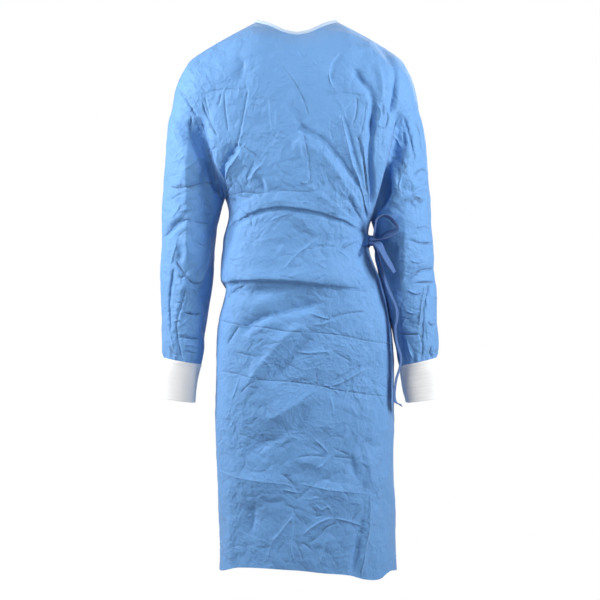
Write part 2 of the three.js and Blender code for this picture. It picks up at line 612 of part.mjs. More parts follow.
// A geometry with its faces pointing out, whichever way its grid ran: its volume has to be positive.
function facingOut(vertices, faces) {
  const corner = (k) => new THREE.Vector3().fromArray(vertices, 3 * faces[k]);
  let volume = 0;
  for (let k = 0; k < faces.length; k += 3) volume += corner(k).dot(corner(k + 1).cross(corner(k + 2)));
  for (let k = 0; k < faces.length && volume < 0; k += 3) {
    [faces[k + 1], faces[k + 2]] = [faces[k + 2], faces[k + 1]];
  }
  const geometry = new THREE.BufferGeometry();
  geometry.setAttribute("position", new THREE.Float32BufferAttribute(vertices, 3));
  geometry.setIndex(faces);
  geometry.computeVertexNormals();
  return geometry;
}

const centreOf = (row) => new THREE.Vector3(row.x, row.y, row.z);
const edgeOf = (row) => new THREE.Vector3(row.edgeX, row.edgeY, row.edgeZ);

// A tie from its rows: a flat strip whose middle follows a smooth curve through them.
function tie(rows, stepsPerRow = 2) {
  const middle = new THREE.CatmullRomCurve3(rows.map(centreOf), false, "centripetal");
  const toEdge = new THREE.CatmullRomCurve3(rows.map(edgeOf), false, "centripetal");
  const steps = stepsPerRow * (rows.length - 1);
  const grid = Array.from({ length: steps + 1 }, (_, k) => {
    const centre = middle.getPoint(k / steps);
    const edge = toEdge.getPoint(k / steps);
    return [centre.clone().sub(edge), centre.clone().add(edge)];
  });
  const piece = clothPiece("tie", grid, 1);
  grid.forEach((points, i) => points.forEach((p, j) => p.addScaledVector(piece.outward[i][j], CLOTH / 2)));
  return wall(piece);
}

// A tie that lies on a panel, made from the panel's points moved out, and then leaves it for the knot.
function waistTie(stretches, end) {
  const rows = stretches.flatMap(({ panel, columns }) =>
    columns.map((j) => {
      const [upper, lower] = WAIST_ROWS.map((i) =>
        panel.grid[i][j].clone().addScaledVector(panel.outward[i][j], REST_GAP + CLOTH / 2),
      );
      const centre = upper.clone().add(lower).multiplyScalar(0.5);
      const edge = upper.sub(lower).multiplyScalar(0.5);
      return { x: centre.x, y: centre.y, z: centre.z, edgeX: edge.x, edgeY: edge.y, edgeZ: edge.z };
    }),
  );
  return tie([...rows, end], 1);
}

// A patch between the back panels at the neck, made from the under panel's points moved out.
function fastener(under) {
  const first = SHOULDER_STEPS + LAP_STEPS - FASTENER.columns;
  const cut = (table) => FASTENER.rows.map((i) => table[i].slice(first));
  const outward = cut(under.outward);
  const grid = cut(under.grid).map((points, i) =>
    points.map((p, j) => p.clone().addScaledVector(outward[i][j], REST_GAP + FASTENER.thickness)),
  );
  return wall({ ...clothPiece("fastener", grid, -1), outward }, FASTENER.thickness);
}

function knot() {
  const geometry = new THREE.SphereGeometry(1, 12, 8);
  geometry.scale(KNOT.halfX, KNOT.halfY, KNOT.halfZ);
  geometry.translate(KNOT.x, KNOT.y, KNOT.z);
  return geometry;
}

const blueCloth = () => new THREE.MeshStandardMaterial({ color: 0x76a9de, roughness: 0.75, metalness: 0 });
const blueTie = () => new THREE.MeshStandardMaterial({ color: 0x6fa0d6, roughness: 0.75, metalness: 0 });
const whiteKnit = () => new THREE.MeshStandardMaterial({ color: 0xe2e4e6, roughness: 0.9, metalness: 0 });
const whiteTape = () => new THREE.MeshStandardMaterial({ color: 0xdfe5ec, roughness: 0.85, metalness: 0 });

const front = clothPiece("body", frontGrid(), -1);
const lapping = clothPiece("body", backGrid(-1, "lapping", "under", LAP_OUT), 1);
const under = clothPiece("body", backGrid(1, "under", "lapping", LAP_IN), -1);
const binding = clothPiece("neck", neckGrid(front.grid, lapping.grid, under.grid), 1);
const sleeveRight = clothPiece("sleeve", sleeveGrid("right"), -1, true);
const sleeveLeft = clothPiece("sleeve", sleeveGrid("left"), 1, true);
const cuffRight = clothPiece("cuff", cuffGrid("right"), -1, true);
const cuffLeft = clothPiece("cuff", cuffGrid("left"), 1, true);
joinSeams([front, lapping, under, binding, sleeveRight, sleeveLeft, cuffRight, cuffLeft]);

const lappingEnd = SHOULDER_STEPS + LAP_STEPS;
const frontTie = waistTie(
  [{ panel: front, columns: FRONT_TIE_COLUMNS.map((j) => FRONT_STEPS - j) }],
  FRONT_TIE_END,
);
const backTie = waistTie(
  [
    { panel: lapping, columns: [lappingEnd - 2, lappingEnd - 1, lappingEnd] },
    { panel: under, columns: BACK_TIE_COLUMNS },
    { panel: front, columns: [FRONT_STEPS - 1] },
  ],
  BACK_TIE_END,
);

const pieces = [
  ["front_panel", wall(front), blueCloth()],
  ["back_panel_lapping", wall(lapping), blueCloth()],
  ["back_panel_under", wall(under), blueCloth()],
  ["sleeve_right", wall(sleeveRight), blueCloth()],
  ["sleeve_left", wall(sleeveLeft), blueCloth()],
  ["cuff_right", wall(cuffRight), whiteKnit()],
  ["cuff_left", wall(cuffLeft), whiteKnit()],
  ["neck_binding", wall(binding), whiteTape()],
  ["neck_fastener", fastener(under), whiteTape()],
  ["tie_front", frontTie, blueTie()],
  ["tie_back", backTie, blueTie()],
  ["bow_knot", knot(), blueTie()],
  ["bow_loop_upper", tie(LOOP_UPPER), blueTie()],
  ["bow_loop_lower", tie(LOOP_LOWER), blueTie()],
  ["tie_end_long", tie(TIE_END), blueTie()],
];

const gown = new THREE.Group();
for (const [name, geometry, material] of pieces) {
  const mesh = new THREE.Mesh(geometry, material);
  mesh.name = name;
  gown.add(mesh);
}
export default gown;
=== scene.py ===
"""A disposable surgical gown of blue nonwoven cloth, filled out as if worn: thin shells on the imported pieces.

Sizes are in millimetres, as the garment was measured, and each mesh is written in metres. +Z is up, the front
faces -Y, the wearer's left is +X, and the origin is the middle of the neck at the height of its highest edge.
"""
from collections import namedtuple

import bpy
import numpy as np
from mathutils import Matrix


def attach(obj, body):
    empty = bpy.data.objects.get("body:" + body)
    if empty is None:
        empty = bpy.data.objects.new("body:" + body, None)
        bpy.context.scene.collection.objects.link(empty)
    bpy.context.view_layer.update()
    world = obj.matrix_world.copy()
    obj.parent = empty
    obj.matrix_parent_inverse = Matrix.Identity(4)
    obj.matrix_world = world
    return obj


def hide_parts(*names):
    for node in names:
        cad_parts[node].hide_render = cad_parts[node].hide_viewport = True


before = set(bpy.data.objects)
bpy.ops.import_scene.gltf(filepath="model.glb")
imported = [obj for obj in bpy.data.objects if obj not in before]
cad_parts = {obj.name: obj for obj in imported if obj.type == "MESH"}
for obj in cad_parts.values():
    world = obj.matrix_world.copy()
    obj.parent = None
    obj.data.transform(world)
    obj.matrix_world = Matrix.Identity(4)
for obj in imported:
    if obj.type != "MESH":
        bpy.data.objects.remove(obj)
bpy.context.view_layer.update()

MM = 0.001

# The camera stands level in front of the gown, at the height of its waist.
CAMERA = {"x": 6.4, "y": -3200, "z": -593.6}
PICTURE_WIDTH = 1272  # what the picture takes in at the middle of the gown
SENSOR = 36

# The cloth and how the pieces lie on each other.
CLOTH = 0.8
LAP_OUT = 2.4  # how far the lapping panel stands out where the back panels lap, and the other stands in
LAP_IN = -3.0
LAP_EASE = 0.18
NECK_TAPE = 7
FASTENER = {"stand": 3.0, "thickness": 2.2}
FOLD_ROLL = 18  # how far the front's fold rolls back over the sleeve
ARM_HOLLOW = 26  # how far a sleeve lies back beside that fold
LEDGE = {"z": -561, "out": 3.6, "reach": 30}  # the blouse's overhang at the right side
CUFF_FLATNESS = (1, 0.62, 0.54, 0.5)
CUFF_RIB = {"height": 0.16, "points": 4}
CUFF_CREASES = (0.2, 0.36, 0.47, 0.66, 0.82)  # shares of the way down a cuff

# The form's layout: where the neck ends on the way to the armhole, how points crowd, and mean heights.
NECK_END = 1 / 3
ROW_CROWDING = 1.1
RING_CROWDING = 1.6
CROWDED_RINGS = 5
SHOULDER_ROUNDING = 0.38
MEAN_UNDERARM = -405
MEAN_HEM = -1150
UNDERARM = {"right": -379, "left": -430}


def table(columns, text):
    """A table with named columns: one array of numbers for each name."""
    rows = [[float(word) for word in line.split()] for line in text.strip().splitlines()]
    return dict(zip(columns.split(), np.array(rows).T))


# The body by height: its sides, its front and back at the middle, and how square its corners are, 2 being
# an ellipse.
BODY = table("z right left front back square_right square_left", """
    -43   -152  155   -66   64  2.1  2.1
    -80   -152  155   -85   80  2.1  2.1
    -125  -152  155  -102   94  2.2  2.2
    -180  -152  155  -116  104  2.3  2.3
    -240  -152  155  -125  110  2.4  2.4
    -320  -152  155  -128  110  2.4  2.4
    -379  -152  155  -126  107  2.3  2.3
    -400  -144  155  -125  105  2.3  2.3
    -425  -145  155  -123  103  2.3  2.3
    -450  -150  151  -122  100  2.3  2.3
    -484  -157  152  -122   98  2.4  2.2
    -520  -160  163  -127  102  2.6  2.3
    -545  -160  172  -131  106  2.7  2.4
    -557  -158  177  -132  108  2.8  2.4
    -568  -150  180  -122  109  2.8  2.4
    -590  -154  187  -121  113  2.8  2.4
    -612  -160  191  -122  116  2.9  2.5
    -630  -165  195  -124  118  2.9  2.5
    -660  -168  201  -126  120  3.0  2.5
    -720  -170  204  -130  124  3.1  2.5
    -800  -171  204  -134  127  3.2  2.6
    -915  -171  204  -138  131  3.3  2.6
    -1005 -166  206  -142  135  3.4  2.7
    -1100 -163  209  -145  140  3.5  2.8
    -1200 -162  212  -148  145  3.6  2.8
""")
HEMS = {
    "front": table("across z", """
        -1    -1155
        -0.75 -1138
        -0.15 -1141
        0.16  -1147
        0.44  -1152
        0.62  -1162
        0.78  -1164
        0.9   -1152
        1     -1158
    """),
    "back": table("across z", """
        -1   -1155
        -0.4 -1149
        0.4  -1151
        1    -1158
    """),
}
# The neck edge from the middle (0) to its highest point (1), and from there the shoulder seam to the
# sleeve.
NECKS = {
    "front": table("at x y z", """
        0     0  -64  -42
        0.35  27 -60  -36
        0.7   58 -41  -19
        1     87   2   -4
    """),
    "back": table("at x y z", """
        0     0   62  -27
        0.35  29  58  -24
        0.7   60  42  -14
        1     87   2   -4
    """),
}
SHOULDER = table("at right left y z", """
    0    -87   87   2   -4
    0.3  -155  155  1   -41
    0.58 -222  219  0   -83
    0.69 -239  234  0   -106
    0.78 -250  244  0   -127
    0.87 -258  251  0   -150
    1    -264  258  0   -184
""")
# Each armhole from the top of the sleeve (0) to the underarm (1).
ARMHOLES = {
    "right": {
        "front": table("at x y z", """
            0    -264   0   -184
            0.16 -254  -40  -190
            0.33 -228  -69  -206
            0.5  -191  -80  -232
            0.6  -182  -88  -266
            0.7  -172  -88  -306
            0.8  -163  -74  -342
            0.9  -155  -44  -366
            0.96 -152  -18  -376
            1    -152   0   -379
        """),
        "back": table("at x y z", """
            0    -264  0   -184
            0.16 -256  38  -189
            0.33 -236  66  -204
            0.5  -211  80  -236
            0.7  -187  80  -296
            0.87 -165  50  -352
            1    -152  0   -379
        """),
    },
    "left": {
        "front": table("at x y z", """
            0    258   0   -184
            0.16 250  -40  -189
            0.33 230  -69  -203
            0.5  204  -82  -223
            0.6  196  -90  -264
            0.7  184  -92  -314
            0.8  173  -80  -360
            0.9  163  -50  -402
            0.96 157  -20  -423
            1    155   0   -430
        """),
        "back": table("at x y z", """
            0    258  0   -184
            0.16 251  38  -189
            0.33 235  66  -204
            0.5  213  80  -238
            0.7  194  84  -316
            0.87 173  54  -392
            1    155  0   -430
        """),
    },
}
# Rings down each sleeve below its armhole: the outer and inner points seen from the front, the middle's
# place from front to back, and half the thickness. The last is the seam with the cuff.
RING_COLUMNS = "out_x out_z in_x in_z mid_y depth"
SLEEVES = {
    "right": table(RING_COLUMNS, """
        -271 -214  -155 -387    0  79
        -277 -264  -159 -400    0  77
        -281 -316  -164 -418    2  74
        -283 -368  -169 -440    4  71
        -286 -420  -172 -466    5  67
        -287 -472  -175 -498    5  64
        -288 -524  -177 -538    3  60
        -287 -576  -181 -582   -2  57
        -287 -625  -187 -629   -8  54
        -286 -668  -194 -673  -15  50
        -284 -694  -195 -702  -21  46
        -280 -714  -201 -728  -26  39
    """),
    "left": table(RING_COLUMNS, """
        263 -216  160 -436    0  80
        273 -266  162 -442    0  78
        279 -320  164 -451    2  75
        282 -374  165 -463    4  71
        284 -426  166 -480    5  67
        288 -478  166 -504    5  64
        291 -530  173 -540    3  60
        294 -580  184 -585   -2  57
        296 -628  193 -632   -8  54
        298 -670  203 -676  -15  50
        297 -698  210 -706  -21  46
        292 -714  215 -731  -26  39
    """),
}
CUFFS = {
    "right": table(RING_COLUMNS, """
        -280 -714  -201 -728  -26  39
        -279 -742  -207 -753  -30  36
        -279 -770  -211 -780  -33  34
        -280 -799  -214 -808  -36  32
    """),
    "left": table(RING_COLUMNS, """
        292 -714  215 -731  -26  39
        292 -742  218 -755  -30  36
        293 -770  222 -782  -33  34
        295 -799  229 -808  -36  32
    """),
}
# Where each back panel's free edge runs, across the back from -1 at the right seam to 1 at the left.
FREE_EDGES = table("z lapping under", """
    -25   0.14  -0.14
    -200  0.3   -0.2
    -430  0.52  -0.28
    -700  0.62  -0.3
    -1200 0.66  -0.32
""")


# A piece of cloth: its grid of points, the direction out of it at each, whether its faces point out as its
# rows run (1) or turned over (-1), whether it is a tube, and its crease lines.
Cloth = namedtuple("Cloth", "grid outward facing closed lines")


def mix(a, b, t):
    return a + (b - a) * t


def ease(t):
    """Goes smoothly from 0 to 1 as t does."""
    c = np.clip(t, 0, 1)
    return c * c * (3 - 2 * c)


def cubic(keys, values, at):
    """Values at places along their keys: a cubic through each two, whose slope at a key is that of the line
    through the values beside it."""
    if keys[-1] < keys[0]:
        keys, values = keys[::-1], values[::-1]
    shape = (-1,) + (1,) * (values.ndim - 1)
    before = np.r_[0, np.arange(len(keys) - 1)]
    after = np.r_[np.arange(1, len(keys)), len(keys) - 1]
    slopes = (values[after] - values[before]) / (keys[after] - keys[before]).reshape(shape)
    at = np.clip(at, keys[0], keys[-1])
    i = np.clip(np.searchsorted(keys, at) - 1, 0, len(keys) - 2)
    wide = at.shape + (1,) * (values.ndim - 1)
    step = (keys[i + 1] - keys[i]).reshape(wide)
    t = (at - keys[i]).reshape(wide) / step
    rise = values[i + 1] - values[i]
    bend_in = slopes[i] * step - rise
    bend_out = rise - slopes[i + 1] * step
    return values[i] + rise * t + t * (1 - t) * (bend_in * (1 - t) + bend_out * t)


def smooth(rows, key, column, at):
    return cubic(rows[key], rows[column], np.asarray(at, float))


def point_of(rows, at):
    return np.stack([smooth(rows, "at", axis, at) for axis in "xyz"], -1)


def section(across, square):
    """Half of a body section seen from above: how far to the side, and how far out, both from 0 to 1."""
    side = np.sin(np.abs(across) * np.pi / 2) ** (2 / (1 + square / 2))
    return np.sign(across) * side, np.maximum(1 - side ** square, 0) ** (1 / square)


def square_at(across, z):
    return np.where(across < 0, smooth(BODY, "z", "square_right", z), smooth(BODY, "z", "square_left", z))


def top_edge(face, across):
    """The neck edge and the shoulder seams in one, from the right armhole (-1) to the left (1)."""
    away = np.abs(across)
    neck = point_of(NECKS[face], away / NECK_END)
    neck[..., 0] *= np.sign(across)
    along = np.clip((away - NECK_END) / (1 - NECK_END), 0, 1)
    side = np.where(across < 0, smooth(SHOULDER, "at", "right", along), smooth(SHOULDER, "at", "left", along))
    seam = np.stack([side, smooth(SHOULDER, "at", "y", along), smooth(SHOULDER, "at", "z", along)], -1)
    return np.where((away <= NECK_END)[..., None], neck, seam)


def upper_form(face, across, down):
    """The body from its top edge, where down is 0, to the underarm: a rounded section between the armholes,
    bent up to meet the neck and the shoulder seams, and rounded off there like a quarter of a circle."""
    def from_armhole(d):
        z = mix(NECKS[face]["z"][0], MEAN_UNDERARM, d)
        side, out = section(across, square_at(across, z))
        right = point_of(ARMHOLES["right"][face], d)
        left = point_of(ARMHOLES["left"][face], d)
        p = mix(right, left, ((1 + side) / 2)[..., None])
        p[..., 1] = mix(p[..., 1], smooth(BODY, "z", face, z), out)
        return p

    p = from_armhole(down)
    rise = top_edge(face, across) - from_armhole(np.zeros_like(down))
    near = np.maximum(1 - down / SHOULDER_ROUNDING, 0)
    p[..., 0] += rise[..., 0] * (1 - down) ** 1.5
    p[..., 1] += rise[..., 1] * (1 - np.sqrt(1 - near ** 2))
    p[..., 2] += rise[..., 2] * (1 - down)
    return p


def lower_form(face, across, height):
    """The body below the underarm: a rounded section at each height down to the hem."""
    share = (height - MEAN_UNDERARM) / (MEAN_HEM - MEAN_UNDERARM)

    def height_at(side):
        underarm = mix(UNDERARM["right"], UNDERARM["left"], (1 + side) / 2)
        return mix(underarm, smooth(HEMS[face], "across", "z", side), share)

    side, out = section(across, square_at(across, height_at(across)))
    z = height_at(side)
    x = mix(smooth(BODY, "z", "right", z), smooth(BODY, "z", "left", z), (1 + side) / 2)
    return np.stack([x, out * smooth(BODY, "z", face, z), z], -1)


def body_form(face, across, height):
    """The body's own form, front or back, at places across it and at mean heights, and how far down it is."""
    top = NECKS[face]["z"][0]
    down = np.clip((height - top) / (MEAN_UNDERARM - top), 0, 1)
    upper = upper_form(face, across, down)
    lower = lower_form(face, across, np.minimum(height, MEAN_UNDERARM))
    return np.where((height >= MEAN_UNDERARM)[..., None], upper, lower), down


def unit(vectors):
    return vectors / np.maximum(np.linalg.norm(vectors, axis=-1, keepdims=True), 1e-9)


def far_along(points):
    """How far each row of points is from the first, along the cloth: a mean over its columns."""
    steps = np.linalg.norm(np.diff(points, axis=0), axis=-1)
    return np.r_[0, np.cumsum(steps.reshape(len(steps), -1).mean(1))]


def relaxed(grid, times, closed=False):
    """The grid with each point moved to the average of it and its neighbours, so many times, borders kept."""
    for _ in range(times):
        inner = grid.copy()
        inner[1:-1] = (grid[:-2] + 2 * grid[1:-1] + grid[2:]) / 4
        if closed:
            grid = (np.roll(inner, 1, 1) + 2 * inner + np.roll(inner, -1, 1)) / 4
            grid[0], grid[-1] = inner[0], inner[-1]
        else:
            grid = inner.copy()
            grid[1:-1, 1:-1] = (inner[1:-1, :-2] + 2 * inner[1:-1, 1:-1] + inner[1:-1, 2:]) / 4
    return grid


def normals(grid, facing, closed=False):
    """The direction out of the cloth at each point: square to its row and its column."""
    if closed:
        along_row = np.roll(grid, -1, 1) - np.roll(grid, 1, 1)
    else:
        along_row = np.gradient(grid, axis=1)
    return unit(np.cross(along_row, np.gradient(grid, axis=0)) * facing)


# A crease: how far it stands out, its half width on the left and on the right of the way its line is drawn,
# its kind, and its line's points across and up, as seen from the camera on the plane of the side seams.
Crease = namedtuple("Crease", "name out left right kind points")
SOFT, SHARP, STEP, DRAG = "soft", "sharp", "step", "drag"


def creases_of(text):
    """Creases from rows of text: a name, which small ones may lack, the height, both half widths, the kind
    unless it is sharp, and the points. A line that is indented further goes on with the row above it."""
    found = []
    for row in text.strip().replace("\n" + 8 * " ", " ").splitlines():
        name, _, rest = row.rpartition(":")
        words = rest.split()
        kind = words.pop(3) if "," not in words[3] else SHARP
        points = np.array([[float(n) for n in pair.split(",")] for pair in words[3:]])
        found.append(Crease(name.strip(), *map(float, words[:3]), kind, points))
    return found


FRONT_CREASES = creases_of("""
    swag over the waist: 7 24 15 step -152,-492 -139,-439 -117,-423 -83,-406 -53,-399 -30,-397 6,-401
        47,-409 70,-417 98,-426 119,-438 140,-447
    crest over the swag: 3 26 12 soft -140,-420 -110,-404 -60,-384 -10,-382 50,-394 100,-412
    long drag to the tie, furrow: -9 12 17 drag 0,-222 31,-241 53,-254 76,-276 102,-310 121,-337 136,-360
        144,-390 150,-424
    long drag to the tie, crest: 7 14 44 drag -6,-252 19,-267 45,-276 66,-297 87,-324 108,-356 125,-382
        140,-413
    second drag, crest: 6 7 12 drag 92,-196 100,-235 116,-300 130,-335 140,-371 151,-409
    second drag, furrow: -4.5 8 8 drag 100,-206 110,-244 125,-297 136,-331 145,-367 152,-398
    third drag, furrow: -3.5 8 8 drag 128,-246 136,-276 142,-307 146,-339 150,-370
    third drag, crest: 6 6 12 drag 140,-262 144,-293 150,-329 155,-364 157,-400
    trough beside the left fold: -11 9 20 163,-190 160,-226 157,-262 156,-300 159,-335 160,-372 157,-404
    short drag, furrow: -4.5 8 11 drag 106,-372 114,-386 126,-408 142,-432
    light over the swag: 3 14 16 drag 20,-346 34,-360 70,-388 102,-411 124,-426
    trough beside the right fold: -18 8 28 -120,-262 -136,-286 -152,-306 -159,-330 -151,-356 -142,-392
    crest beside that trough: 7 30 6 -114,-268 -126,-290 -142,-312 -148,-334 -142,-362 -139,-396
    light plane under the arm: 5 16 26 -88,-304 -68,-338 -50,-376
    shade by that plane: -6 20 14 -92,-326 -74,-344 -66,-372
    fold by the left chest: 3.4 9 20 92,-66 74,-90 68,-116 76,-142 90,-156
    hollow under it: -2 8 8 76,-106 72,-132 84,-150
    trough from the left chest: -10 12 18 118,-96 140,-132 158,-156 163,-196 158,-250
    light beside that trough: 7 10 14 168,-90 178,-130 180,-176
    shade at the left shoulder: -10 10 16 166,-40 196,-74 208,-108 206,-152 200,-204
    soft light of the chest: 4 20 30 -34,-90 0,-140 12,-190
    shade beside it: -5 28 16 -26,-180 6,-212 22,-250
    shade at the right shoulder: -3 20 20 soft -196,-72 -176,-100 -168,-122
    hollow of the right chest: -6 34 30 -120,-60 -118,-110 -140,-142
    press across the chest, right: -2 26 26 -204,-160 -174,-150 -142,-146 -112,-146 -92,-140
    press across the chest, left: -2 26 26 70,-142 90,-152 116,-156 150,-160
    press across the chest, middle: -0.7 20 20 -90,-142 -20,-148 60,-142
    press under the chest: -2.6 30 24 -142,-370 -112,-366 -84,-368 -34,-362 25,-364 52,-358
    jog of that press: -2 12 12 22,-364 44,-360 56,-350 74,-348
    edge of the blouse: 5 40 15 step -172,-558 -146,-556 -111,-553 -17,-555 51,-561 91,-566 151,-572
    shade under the blouse: -3 10 26 soft -110,-572 -60,-574 -20,-576
    tuck under the blouse: -4 6 12 -160,-562 -136,-560 -118,-554
    drag under the tuck: -4 9 16 -150,-592 -132,-576 -108,-562
    press B: -2.4 34 34 -165,-636 -122,-646 -70,-652 -17,-661 30,-662 91,-668 155,-681 200,-688
    press C: -2.4 34 34 -160,-744 -125,-751 -76,-763 -17,-767 51,-776 81,-784 131,-791 202,-800
    press D, right: 6 34 84 -168,-952 -138,-966 -87,-977 -28,-984 0,-993
    press D, left: 6 34 70 6,-983 40,-990 76,-997 152,-1004
    upper skirt hollow: -12 18 40 60,-600 22,-608 -30,-620 -92,-642 -130,-680
    upper skirt crest: 8 34 24 34,-640 -14,-664 -52,-702 -92,-752 -118,-800
    upper skirt light: 4 40 30 soft -20,-590 -72,-606 -120,-628
    lower skirt hollow: -12 46 18 36,-650 4,-690 -34,-736 -76,-772
    lower skirt crest: 6 40 40 60,-760 20,-800 -40,-838 -90,-862
    hollow over press D: -8 36 44 -10,-860 -50,-892 -96,-912 -130,-930
    hollow in the middle: -7 34 32 30,-812 6,-858 -6,-912
    light over press D: 5 40 26 -24,-930 40,-944 100,-966
    shade by the left side: -7 22 24 112,-918 122,-956 132,-982
    shade under press D: -8 26 44 -96,-1010 -92,-1060 -112,-1110
    left corner, top: 3 24 20 159,-519 176,-596 180,-649 174,-740 164,-830 152,-900
    left corner, upper: 5 34 26 150,-900 152,-950 156,-1003
    left corner, lower: 7 30 18 156,-1003 152,-1060 144,-1120 136,-1180
    trough at the left corner: -7 12 22 138,-1060 128,-1118 118,-1176
    right corner: 3 26 26 -140,-968 -142,-1060 -138,-1160
    left side strip: 3 20 20 soft 172,-600 186,-700 190,-800 188,-900
    dent at the tie: -19 7 5 149,-458 144,-470 137,-488 129,-505
    fold into the dent: 5 7 7 drag 92,-486 108,-474 122,-468 138,-458
""")

FRONT_FINE_CREASES = creases_of("""
    pleat: -1.8 5 7 -104,-146 -110,-184 -120,-232 -127,-266
    pleat: -1.8 6 6 -200,-172 -192,-202 -180,-228 -168,-248
    pleat: -1.2 5 5 -153,-152 -152,-190 -146,-236
    pleat: -1.2 5 5 -160,-152 -164,-172 -172,-192
    pleat: -1 5 5 -196,-160 -188,-196 -186,-214
    pleat: 1 5 5 -60,-162 -56,-206 -50,-246
    pleat: 0.9 4 4 -44,-184 -46,-238
    pleat: -1.3 5 5 128,-160 126,-196 118,-222
    pleat: -1 4 4 146,-176 142,-214 134,-242
    pleat: 1 4 4 82,-160 98,-190 108,-226
    neck: -1.4 7 9 -32,-96 -8,-128 12,-166 26,-204
    neck: 1 5 5 0,-64 10,-80
    neck: 0.9 5 5 36,-86 46,-98
    shoulder: -3 8 8 -252,-148 -232,-172 -212,-206
    left trough: 2 5 5 168,-172 178,-196 172,-222
    left trough: -2 5 5 180,-176 184,-202
    left trough: 2 5 5 162,-206 176,-224 190,-228
    left trough: -1.8 5 5 188,-180 194,-206 186,-232
    right arm: -3 5 5 -132,-260 -122,-276
    right arm: 2 5 5 -124,-256 -120,-282 -122,-302
    right arm: -3 6 6 -90,-298 -98,-318 -107,-338
    right arm: 2 5 5 -104,-284 -112,-300 -104,-312
    right arm: -1.6 5 5 -118,-264 -94,-282 -72,-304
    right arm: 1.6 5 5 -72,-304 -90,-322 -100,-346
    right arm: 2.2 8 6 -104,-352 -88,-364 -74,-372
    right arm: -2 6 6 -60,-360 -46,-366 -40,-352
    right side: -1.5 6 6 -124,-396 -100,-416 -96,-440
    right side: 1.2 6 6 -150,-500 -132,-506 -110,-498
    waist: 1.6 5 6 -30,-530 -2,-498 22,-480 46,-462
    waist: -1.4 6 5 22,-486 48,-480 84,-480
    waist: 1.2 5 5 86,-486 104,-500 112,-512
    chest: 1.8 6 6 4,-228 8,-266 14,-300
    chest: -1.8 6 6 14,-240 24,-292 30,-352
    chest: 1.6 6 5 0,-340 14,-346 28,-342 34,-330
    skirt: -2 6 6 142,-618 106,-622 78,-630 62,-636
    skirt: 1.8 5 5 26,-620 52,-630 70,-636 58,-644 34,-646
    skirt: 1.6 5 5 -4,-702 22,-706 52,-704 74,-702
    skirt: -1 5 5 74,-702 96,-714 118,-726
    skirt: 2.4 6 6 148,-738 118,-756 92,-770 70,-776
    skirt: -2.2 6 6 138,-732 108,-748 76,-766
    skirt: 1.8 6 6 54,-772 76,-782 92,-796
    skirt: 1.6 5 5 110,-776 102,-800 92,-830
    skirt: 1.3 5 5 70,-794 76,-820 76,-846
    skirt: -1.6 6 6 -85,-763 -104,-776 -118,-792
    skirt: -2.6 7 9 -124,-648 -136,-668 -148,-688
    skirt: -1.2 5 5 -134,-704 -104,-710 -84,-716
    skirt: 1.1 5 5 -122,-756 -130,-784 -138,-806
    star: 2 6 6 34,-886 50,-900 68,-920
    star: -1.8 5 5 78,-908 96,-916 112,-924
    star: 1.6 5 5 112,-874 96,-894 88,-914
    star: -1.2 5 5 62,-926 30,-924 0,-928
    star: -1.4 6 6 74,-926 96,-928 120,-930
    star: 1.2 5 5 72,-920 60,-938 40,-952
    under the star: -2 6 6 -34,-962 -18,-974 0,-994 8,-1018
    under the star: 1.8 6 6 -30,-996 -8,-1000 6,-1004
    hem: 2.2 6 6 12,-1092 36,-1072 60,-1060 78,-1056
    hem: -1.8 6 6 22,-1110 44,-1096 62,-1076 84,-1066
    hem: 1.8 5 5 78,-1056 106,-1062 138,-1072
    hem: 1.6 5 5 36,-1024 52,-1038 66,-1032 76,-1048
    hem: -1.6 5 5 28,-1030 42,-1044 38,-1052 56,-1050
    hem: 2 6 6 62,-1098 54,-1128 44,-1160
    hem: -1.6 6 6 -4,-1102 6,-1126 14,-1150
    hem: -1.4 5 5 6,-1106 20,-1114 34,-1126
    hem: 1.6 6 6 -10,-1034 -8,-1080 -12,-1120 -4,-1150
    hem: 1.4 6 6 -4,-1046 -30,-1080 -54,-1110 -60,-1142
    hem: 1.6 5 5 122,-1162 134,-1142 138,-1132
    hem: -1.2 5 5 112,-1062 128,-1046 144,-1034
""")

RIGHT_SLEEVE_CREASES = creases_of("""
    press down the sleeve: 10 36 42 -228,-190 -232,-284 -233,-403 -235,-532
    deep line beside the fold: -13 4 15 -205,-172 -198,-226 -191,-258 -181,-304 -171,-344 -158,-376
    shade at the shoulder: -5 14 14 soft -204,-196 -196,-236 -186,-290
    inner hollow: -5 20 20 soft -196,-300 -192,-380 -196,-460
    upper press: -2.2 16 16 -270,-352 -250,-356 -225,-352 -198,-346 -170,-344
    elbow fold: -6 12 12 -286,-462 -266,-446 -243,-428 -226,-422
    elbow fold, upper branch: -3.5 8 8 -240,-422 -232,-408 -222,-396
    elbow light: 4 18 14 soft -280,-436 -256,-420 -240,-400
    elbow shade: -4 12 12 soft -250,-462 -244,-492 -254,-520
    edge of the forearm plane: 4 9 14 -183,-460 -187,-500 -199,-543 -209,-562
    crossing below it: -3 7 7 -258,-510 -244,-530 -228,-552 -214,-560 -204,-556
    dark crease down the forearm: -5.5 7 7 -261,-528 -266,-562 -271,-604 -268,-660
    long forearm crease: -4 8 8 -236,-566 -244,-602 -254,-640 -253,-676 -243,-720
    forearm crest: 3.5 10 16 soft -238,-548 -240,-580 -250,-630 -258,-668
    forearm press 1: -2.6 9 9 -242,-620 -222,-624 -200,-623
    forearm press 2: -3 9 9 -250,-672 -228,-675 -204,-677
    forearm inner shade: -4 14 14 soft -192,-560 -190,-620 -196,-680
""")
